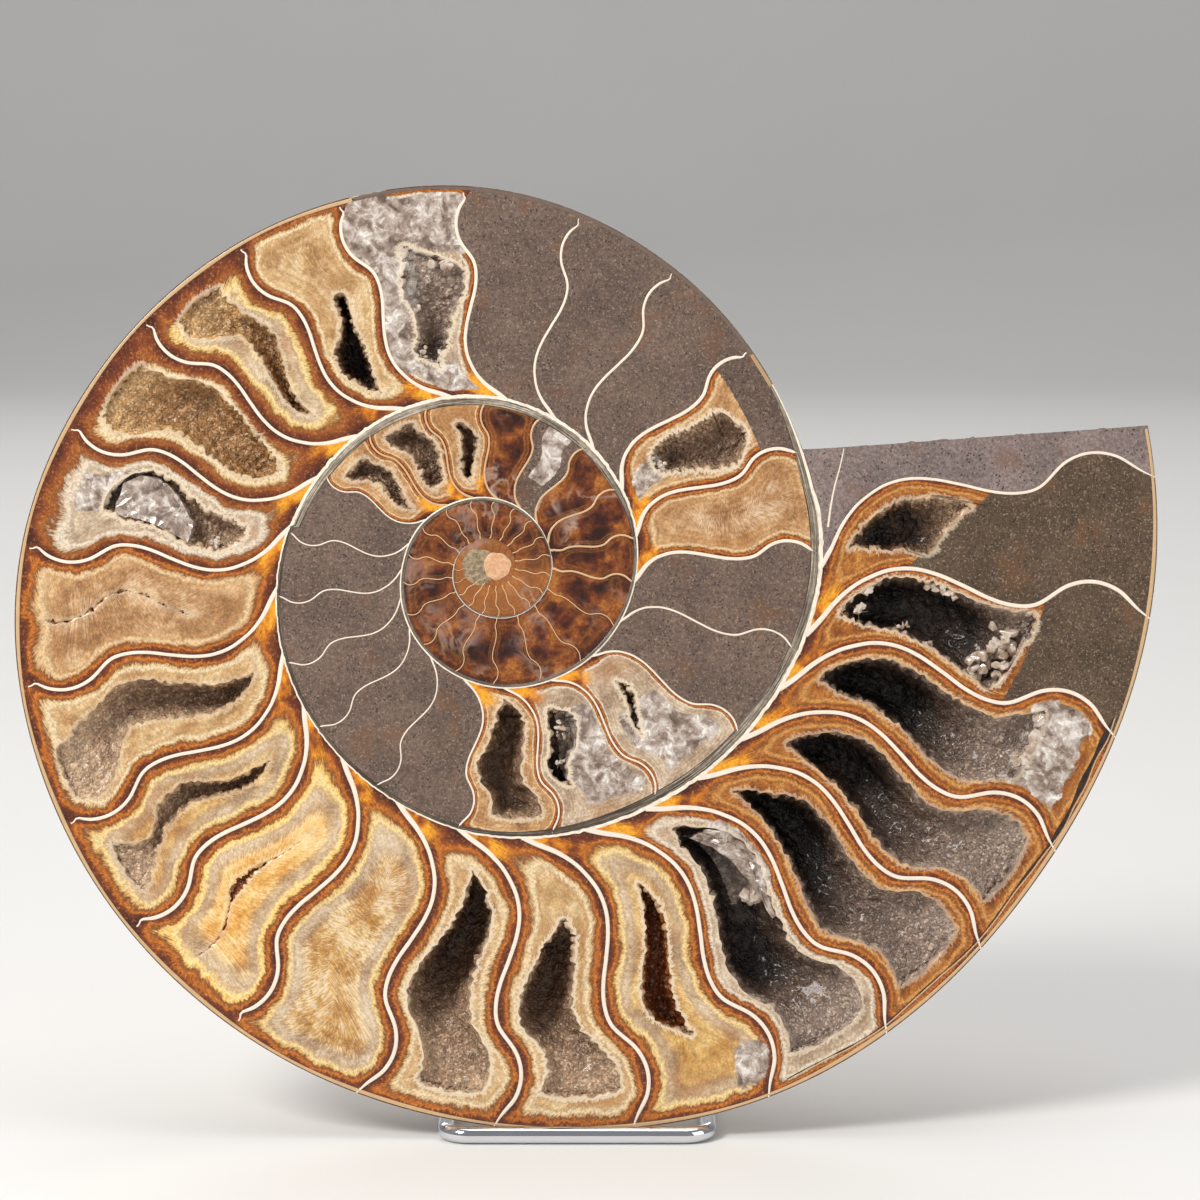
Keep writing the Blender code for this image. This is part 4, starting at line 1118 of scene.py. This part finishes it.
def build_lumps():
    """Blunt many-sided crystals, heaped where the hollows hold larger ones."""
    material = crystal_material()
    by_chamber = {}
    for row in LUMPS:
        by_chamber.setdefault(row[0], []).append(row[1:])
    for k, rows in by_chamber.items():
        mesh = bmesh.new()
        for s, u, depth, size, count, spread in rows:
            right, up = chamber_point(k, s, u)
            for _ in range(count):
                drift = rng.normal(0, 0.4, 3) * spread * (1, 1, 0.4)
                middle = np.array([right, up, depth]) + drift
                grow = size * rng.uniform(0.7, 1.3)
                corners = rng.normal(0, 1, (14, 3))
                corners /= np.linalg.norm(corners, axis=1, keepdims=True)
                stretch = rng.uniform(0.6, 1.2, 3)
                corners = middle + corners * stretch * grow / 2
                corners[:, 2] = np.maximum(corners[:, 2], 0.05)
                made = [mesh.verts.new(in_world(*corner)) for corner in corners]
                hull = bmesh.ops.convex_hull(mesh, input=made)
                loose = [v for v in hull["geom_interior"] if isinstance(v, bmesh.types.BMVert)]
                bmesh.ops.delete(mesh, geom=loose, context="VERTS")
        data = bpy.data.meshes.new(f"crystals_{k}")
        bmesh.ops.bevel(mesh, geom=mesh.edges, offset=BEVEL, segments=1, affect="EDGES")
        mesh.to_mesh(data)
        mesh.free()
        data.materials.append(material)
        piece = put(f"crystals_{k}", data)
        declare(piece, [crust_of(k)])


# Large crystals cut by the face: chamber, depth of the foot, and rows of the share u with the
# crystal's two sides in s.
SLABS = (
    (40, 3.8, ((0.46, 0.50, 0.74), (0.53, 0.37, 0.77), (0.61, 0.27, 0.77), (0.70, 0.25, 0.75),
               (0.77, 0.32, 0.68))),
    (49, 7.5, ((0.19, 0.40, 0.70), (0.27, 0.48, 0.82), (0.36, 0.56, 0.85), (0.45, 0.64, 0.86),
               (0.54, 0.74, 0.86), (0.60, 0.80, 0.85))),
)


def build_slabs():
    """Blocks of grey crystal whose tops lie just under the polished face."""
    shader = Shader("grey_crystal", 0.2, coat=(0.5, 0.1))
    colour, _ = ice_colour(shader)
    material = shader.finish(colour, shader.bump(shader.grit(500, 3.0), 0.3, 0.2))
    along = np.r_[0.0, 0.03, np.linspace(0.1, 0.9, 15), 0.97, 1.0]
    across = np.r_[0.0, 0.06, np.linspace(0.2, 0.8, 6), 0.94, 1.0]
    for k, foot, rows in SLABS:
        rows = np.array(rows)
        u = rows[0, 0] + (rows[-1, 0] - rows[0, 0]) * along
        low, high = (Curve(rows[:, [0, i]])(u) for i in (1, 2))
        s = low[:, None] + (high - low)[:, None] * across
        s = s + rng.normal(0, 0.01, s.shape)
        u = u[:, None] + rng.normal(0, 0.002, s.shape)
        depth = 0.3 + 0.9 * rng.random(s.shape) ** 2
        for edge in (np.s_[0], np.s_[-1], np.s_[:, 0], np.s_[:, -1]):
            depth[edge] = foot
        right, up = chamber_point(k, s, u)
        piece = make_sheet(f"slab_{k}", right, up, depth, material, replaces=[crust_of(k)],
                           slot="crystal")
        piece.data.shade_flat()


# The start of the shell: place, radius, height and two tones.
CENTRE = (
    ("centre_matrix", -16.0 - 3.4, 114.8 - 0.1, 3.7, 0.04, (112, 98, 74), (172, 150, 118)),
    ("centre_bulb", -16.0, 114.8, 2.8, 0.08, (204, 150, 108), (226, 182, 142)),
)


def build_centre():
    """The bulb at the start of the shell, a pale disc beside a patch of grey matrix."""
    turn = np.linspace(0, 2 * np.pi, 48, endpoint=False)
    rings = np.array([1.0, 0.94, 0.7, 0.45, 0.2, 0.02])[:, None]
    wave = 1 + 0.04 * np.sin(3 * turn + 1) + 0.03 * np.sin(7 * turn)
    for name, right, up, radius, height, dark, light in CENTRE:
        shader = Shader(name, 0.45)
        grit = shader.noise(1500, 4.0, 0.7)
        colour = shader.mix(shader.remap(grit, 0.35, 0.65), tone(*dark), tone(*light))
        reach = radius * rings * wave
        level = np.where(rings > 0.97, -0.06, height)
        make_sheet(name, right + reach * np.cos(turn), up + reach * np.sin(turn), -level,
                   shader.finish(colour, shader.bump(grit, 0.4, 0.2)), closed=True, flip=True)


# Back of the shell


def flank_height(share):
    """Height of the flank over the face, 1 at its top, at a share of the outer radius."""
    outward = np.clip((share - FLANK_TOP) / (1.0 - FLANK_TOP), 0, 1)
    outside = (1.0 - outward**RIM_FALL) ** RIM_ROUNDNESS
    inside = 1.0 - SHOULDER_FALL * ((FLANK_TOP - share) / SHOULDER_SPAN) ** 2
    return np.where(share >= FLANK_TOP, outside, inside)


def mouth_shift(angle, radius):
    """Turns the columns near the mouth so that the last one lies along the mouth line."""
    away = np.abs((angle - SHELL_END + 180.0) % 360.0 - 180.0)
    weight = smooth(0.0, 1.0, 1.0 - away / MOUTH_REACH)
    inner = SEAM * wall_radius(SHELL_END)
    shift = mouth_angle(np.maximum(radius, inner)) - (SHELL_END - 360.0)
    return weight * shift * np.minimum(1.0, radius / inner)


def flank_depth(angle, share):
    """Depth behind the face of the flank at a share of the turn's outer radius."""
    outer = wall_radius(angle)
    inner = wall_radius(angle - 360.0)
    seam = FLANK * inner * flank_height(np.minimum(SEAM * outer / inner, 0.99))
    shoulder = FLANK * outer * flank_height(np.full_like(share, SHOULDER))
    rise = smooth(SEAM, SHOULDER, share) ** SHOULDER_RISE
    over = FLANK * outer * np.maximum(flank_height(np.maximum(share, SHOULDER)), RIM_DEPTH)
    return np.where(share < SHOULDER, seam + (shoulder - seam) * rise, over)


def back_material():
    """Worn brown shell with the frilled lines of the chamber walls and pearly patches."""
    shader = Shader("outer_shell", 0.32, coat=(0.4, 0.18))
    lobes = shader.math("SINE", shader.times(shader.attribute("share"), 62.0))
    place = shader.plus(shader.attribute("phase"), lobes, 0.16)
    place = shader.plus(place, shader.noise(330, 4.0, 0.7), 0.42)
    suture = shader.remap(shader.math("PINGPONG", place, 0.5), 0.03, 0.055)
    cloud = shader.noise(38, 4.0)
    base = shader.ramp(cloud, [
        (0.3, tone(112, 74, 46)), (0.45, tone(156, 112, 74)), (0.58, tone(182, 142, 102)),
        (0.7, tone(128, 92, 64))])
    base = shader.shade(base, 0.7, 1.2, shader.noise(420, 4.0))
    line = shader.times(shader.math("SUBTRACT", 1.0, suture), 0.75)
    colour = shader.mix(line, base, tone(64, 36, 20))
    pearl = shader.remap(shader.noise(52, 5.0, 0.6), 0.56, 0.6)
    sheen = shader.ramp(shader.noise(90, 2.0), [
        (0.35, tone(206, 176, 140)), (0.5, tone(220, 206, 186)), (0.62, tone(196, 150, 112))])
    colour = shader.mix(shader.times(pearl, 0.8), colour, sheen)
    height = shader.plus(shader.noise(260, 5.0), pearl, 0.6)
    return shader.finish(colour, shader.bump(height, 0.35, 0.6))


RIB_SWEEP = 16.0
RIB_HEIGHT = 0.0035
RIBS_PER_TURN = 9
RIB_LIMIT = 0.6


def build_back():
    """The outside of the shell: one wound flank of three turns with low curved ribs."""
    material = back_material()
    numbers = np.arange(CORE_FIRST, len(TIPS))
    chamber_angles = np.array([tip_angle(k) for k in numbers])
    for name, first, last, rows, step in (
            ("flank_outer", SHELL_END - 360.0, SHELL_END, 84, 0.6),
            ("flank_middle", SHELL_END - 720.0, SHELL_END - 360.0, 22, 1.0),
            ("flank_inner", SHELL_END - 1080.0, SHELL_END - 720.0, 14, 2.0)):
        angle = np.linspace(first, last, int(360.0 / step) + 1)[:, None]
        outer = wall_radius(angle)
        if name == "flank_outer":
            t = np.linspace(0, 1, rows)
            share = SEAM + (1 - SEAM) * (t + 0.1 * np.sin(np.pi * t) * t)
            share = np.broadcast_to(share, (len(angle), rows))
        else:
            top = SEAM * wall_radius(angle + 360.0) / outer
            share = SEAM + (top - SEAM) * np.linspace(0, 1, rows)[None, :]
        radius = share * outer
        depth = flank_depth(angle, share)
        sweep = angle - RIB_SWEEP * np.sin((share - SEAM) / (1 - SEAM) * np.pi * 1.25)
        strength = RIB_HEIGHT * outer * smooth(0.34, 0.6, share) * smooth(1.0, 0.9, share)
        ribs = np.sin(np.radians(sweep * RIBS_PER_TURN))
        ribs = strength * (ribs + 0.35 * np.sin(np.radians(sweep * 3 * RIBS_PER_TURN)))
        depth = depth - SKIN * outer + np.minimum(ribs, RIB_LIMIT)
        if name == "flank_outer":
            for column, share_of_rim in ((-1, 0.0), (-2, 0.4), (-3, 0.85)):
                depth[:, column] = share_of_rim * RIM_DEPTH * FLANK * outer[:, 0]
        right, up = polar_point(angle + mouth_shift(angle, radius), radius)
        phase = np.interp(sweep, chamber_angles, numbers)
        make_sheet(name, right, up, depth, material,
                   {"phase": phase.ravel(), "share": share.ravel()})


def build_mouth():
    """The broken end of the outer turn, from the cut face back to its own flank.

    Where it lies over the turn inside it, it starts at that turn's flank."""
    cols, rows = 130, 26
    outer = float(wall_radius(SHELL_END))
    inner = float(wall_radius(SHELL_END - 360.0))
    share = np.linspace(SEAM, 1.0, cols)
    radius = share * outer
    right, up = polar_point(SHELL_END + mouth_shift(SHELL_END, radius), radius)
    back = flank_depth(np.array([SHELL_END]), share) - SKIN * outer
    back[-1] = 0.3
    within = np.minimum(radius / inner, 1.0)
    front = flank_depth(np.array([SHELL_END - 360.0]), within) - SKIN * inner
    front = front * smooth(1.0, 0.96, within)
    t = np.linspace(0, 1, rows)[:, None]
    depth = front + t * np.maximum(back - front, 0.05)
    lumps = rng.normal(0, 1, (rows, cols))
    for _ in range(2):
        lumps = (lumps + np.roll(lumps, 1, 0) + np.roll(lumps, 1, 1)
                 + np.roll(lumps, -1, 0) + np.roll(lumps, -1, 1)) / 5
    hold = np.sin(np.pi * t) ** 0.5 * np.sin(np.pi * np.linspace(0, 1, cols)) ** 0.5
    shader = Shader("broken_end", 0.75)
    bump = shader.bump(shader.noise(500, 5.0), 0.6, 0.8)
    material = shader.finish(mud_colour(shader, MUD), bump)
    make_sheet("mouth_break", right, up + 1.1 * lumps * hold - 0.3 * hold, depth, material)


# Right and up of the line's points.
MOUTH_WEB = ((53.4, 138.3), (52.6, 134.6), (51.6, 131.0), (50.8, 127.0), (50.2, 122.6))


def build_mouth_web():
    """A white line of shell beside the spiral wall at the mouth."""
    line = np.array(MOUTH_WEB)
    place = np.linspace(0, 1, len(line))
    share = np.linspace(0, 1, 50)
    right, up = (Curve(pair(place, numbers))(share) for numbers in line.T)
    half = 0.12 + 0.16 * share
    ribbon("web_line", right, up, -half, half, line_material("web_line", WHITE_LINE), LINE_PROFILE)


# Ends of the slit in degrees, and how far it lies inside the rim in millimetres.
SLIT_START = 300.0
SLIT_END = 347.0
SLIT_INSET = 2.0


def build_rim_slit():
    """A black strip just inside the rim that paints the shade of an open slit, with a cream line
    beside it.
    """
    angle = np.arange(SLIT_START, SLIT_END, 0.5)
    share = (angle - SLIT_START) / (SLIT_END - SLIT_START)
    radius = wall_radius(angle)
    gap = SLIT_INSET + 0.3 * np.sin(share * 23)
    wide = 0.12 + 0.5 * smooth(0.5, 0.95, share) * smooth(1.0, 0.93, share)
    wide = wide * (0.8 + 0.3 * np.sin(share * 61))
    right, up = polar_point(angle, radius - gap)
    shader = Shader("parting", 0.6)
    # Painted shade: black and dark brown stand for the shadow inside the slit.
    dark = shader.mix(shader.grit(700, 3.0), BLACK, tone(52, 34, 22))
    ribbon("rim_slit_shade", right, up, -wide, wide, shader.finish(dark), SLIT_PROFILE)
    right, up = polar_point(angle, radius - gap + wide + 0.25)
    cream = line_material("parting_line", tone(206, 176, 138), core=RUST)
    ribbon("parting_line", right, up, -0.14 + 0 * angle, 0.14 + 0 * angle, cream, LINE_PROFILE)


# Stand, floor, light and camera


def chrome():
    shader = Shader("bright_chrome", 0.1, metallic=1.0)
    smear = shader.noise(140, 4.0)
    fine = shader.noise(2600, 2.0)
    colour = shader.shade(tone(226, 228, 232), 0.9, 1.02, smear)
    rough = shader.remap(smear, 0.35, 0.7, 0.06, 0.16)
    return shader.finish(colour, shader.bump(fine, 0.04, 0.05), rough)


# The rod's loop as in the solid stand, in millimetres.
BAR_LENGTH = 56.0
CORNER = 5.0
RUN_END = 64.0
REST_BACK = 39.3
REST_UP = 80.0
FOOT_BEND = 8.0
ROD_SIDES = 28


def arc(centre, start, end, radius, count=14):
    turn = start.angle(end)
    across = (end - start * start.dot(end)).normalized()
    steps = [turn * i / count for i in range(count + 1)]
    return [centre + radius * (start * math.cos(a) + across * math.sin(a)) for a in steps]


def build_stand():
    """A round chrome rod bent along the solid stand's path, in one closed loop."""
    half = BAR_LENGTH / 2 - ROD / 2
    low = ROD / 2
    up, back, side = Vector((0, 0, 1)), Vector((0, 1, 0)), Vector((1, 0, 0))
    path = [(Vector((0, 0, low)), up)]
    path += [(p, up) for p in arc(Vector((half - CORNER, CORNER, low)), -back, side, CORNER)]
    rise = Vector((0, REST_BACK - RUN_END, REST_UP - low)).normalized()
    out = Vector((0, rise.z, -rise.y))
    foot = Vector((half, RUN_END - FOOT_BEND * math.tan(back.angle(rise) / 2), low + FOOT_BEND))
    path += [(p, (foot - p).normalized()) for p in arc(foot, -up, out, FOOT_BEND)]
    top = Vector((half - CORNER, REST_BACK, REST_UP)) - rise * CORNER
    path += [(p, -out) for p in arc(top, side, rise, CORNER)]
    path.append((Vector((0, REST_BACK, REST_UP)), -out))
    path += [(Vector((-p.x, p.y, p.z)), v) for p, v in path[-2:0:-1]]
    points = []
    for i, (point, high) in enumerate(path):
        ahead = path[(i + 1) % len(path)][0] - path[i - 1][0]
        wide = ahead.normalized().cross(high).normalized()
        for j in range(ROD_SIDES):
            a = 2 * math.pi * j / ROD_SIDES
            points.append(point + ROD / 2 * (high * math.cos(a) + wide * math.sin(a)))
    j = np.arange(ROD_SIDES)
    after = (j + 1) % ROD_SIDES
    last = (len(path) - 1) * ROD_SIDES
    faces = np.concatenate([grid_faces(len(path), ROD_SIDES, closed=True),
                            np.stack([last + j, last + after, after, j], -1)])
    points = np.array(points) * MM + ORIGIN - (0, 0, STAND_LOW[2])
    make_piece("chrome_rod", points, faces, chrome(), replaces=["display_stand"], slot="chrome")


# The floor in metres: its size, and where and how widely it bends up.
FLOOR_SIZE = 3.0
WALL_BACK = 1.6
WALL_BEND = 0.5


def build_stage():
    """A pale floor that bends up into a wall far behind."""
    shader = Shader("pale_floor", 0.7)
    material = shader.finish(shader.shade((0.74, 0.73, 0.71, 1.0), 0.97, 1.03, shader.noise(6)))
    bend = np.linspace(0, np.pi / 2, 16)
    y = np.concatenate([[-FLOOR_SIZE], WALL_BACK + WALL_BEND * np.sin(bend),
                        [WALL_BACK + WALL_BEND]])
    z = np.concatenate([[0.0], WALL_BEND - WALL_BEND * np.cos(bend), [FLOOR_SIZE]])
    points = [(x, *row) for row in zip(y.tolist(), z.tolist()) for x in (-4.0, 4.0)]
    faces = grid_faces(len(y), 2)
    mesh = bpy.data.meshes.new("floor")
    mesh.from_pydata(points, [], faces.tolist())
    mesh.shade_smooth()
    mesh.materials.append(material)
    floor = put("floor", mesh)


def aim(item, place, target):
    item.location = place
    item.rotation_euler = (Vector(target) - item.location).to_track_quat("-Z", "Y").to_euler()


# Soft lights: place and size in metres, power in watts and colour.
LIGHTS = (
    ("key", (-0.75, -0.75, 0.95), (0.4, 0.4), 15, (1.0, 0.98, 0.95)),
    ("fill", (1.0, -0.7, 0.5), (0.9, 0.9), 4, (1.0, 1.0, 1.0)),
    ("top", (0.1, 0.1, 1.3), (1.0, 0.8), 7, (1.0, 1.0, 1.0)),
    ("back", (-0.2, 1.3, 0.9), (1.4, 0.8), 6, (1.0, 1.0, 1.0)),
)
LIGHT_TARGET = (0.0, 0.0, 0.1)


def build_lights():
    for name, place, size, power, colour in LIGHTS:
        data = bpy.data.lights.new(name, "AREA")
        data.shape = "RECTANGLE"
        data.size, data.size_y = size
        data.energy = power
        data.color = colour
        aim(put(name, data), place, LIGHT_TARGET)
    world = bpy.data.worlds.new("soft_room")
    world.use_nodes = True
    inputs = world.node_tree.nodes["Background"].inputs
    inputs["Color"].default_value = (0.9, 0.92, 0.95, 1)
    inputs["Strength"].default_value = 0.3
    bpy.context.scene.world = world


# The photograph's frame is 240 mm wide at the face and its middle lies here on the face.
VIEW_CENTRE = (4.6, 108.0)
VIEW_WIDTH = 240.0
VIEW_DISTANCE = 900.0
SENSOR = 36.0


def build_camera():
    data = bpy.data.cameras.new("camera")
    data.sensor_width = SENSOR
    data.lens = SENSOR * VIEW_DISTANCE / VIEW_WIDTH
    camera = put("camera", data)
    aim(camera, in_world(*VIEW_CENTRE, -VIEW_DISTANCE), in_world(*VIEW_CENTRE, 0.0))
    bpy.context.scene.camera = camera
    bpy.context.scene.view_settings.view_transform = "Standard"


for build in (build_camera, build_lights, build_stage, build_chambers, build_core, build_septa,
              build_spiral_walls, build_rim, build_lumps, build_slabs, build_centre, build_back,
              build_mouth, build_mouth_web, build_rim_slit, build_stand):
    build()
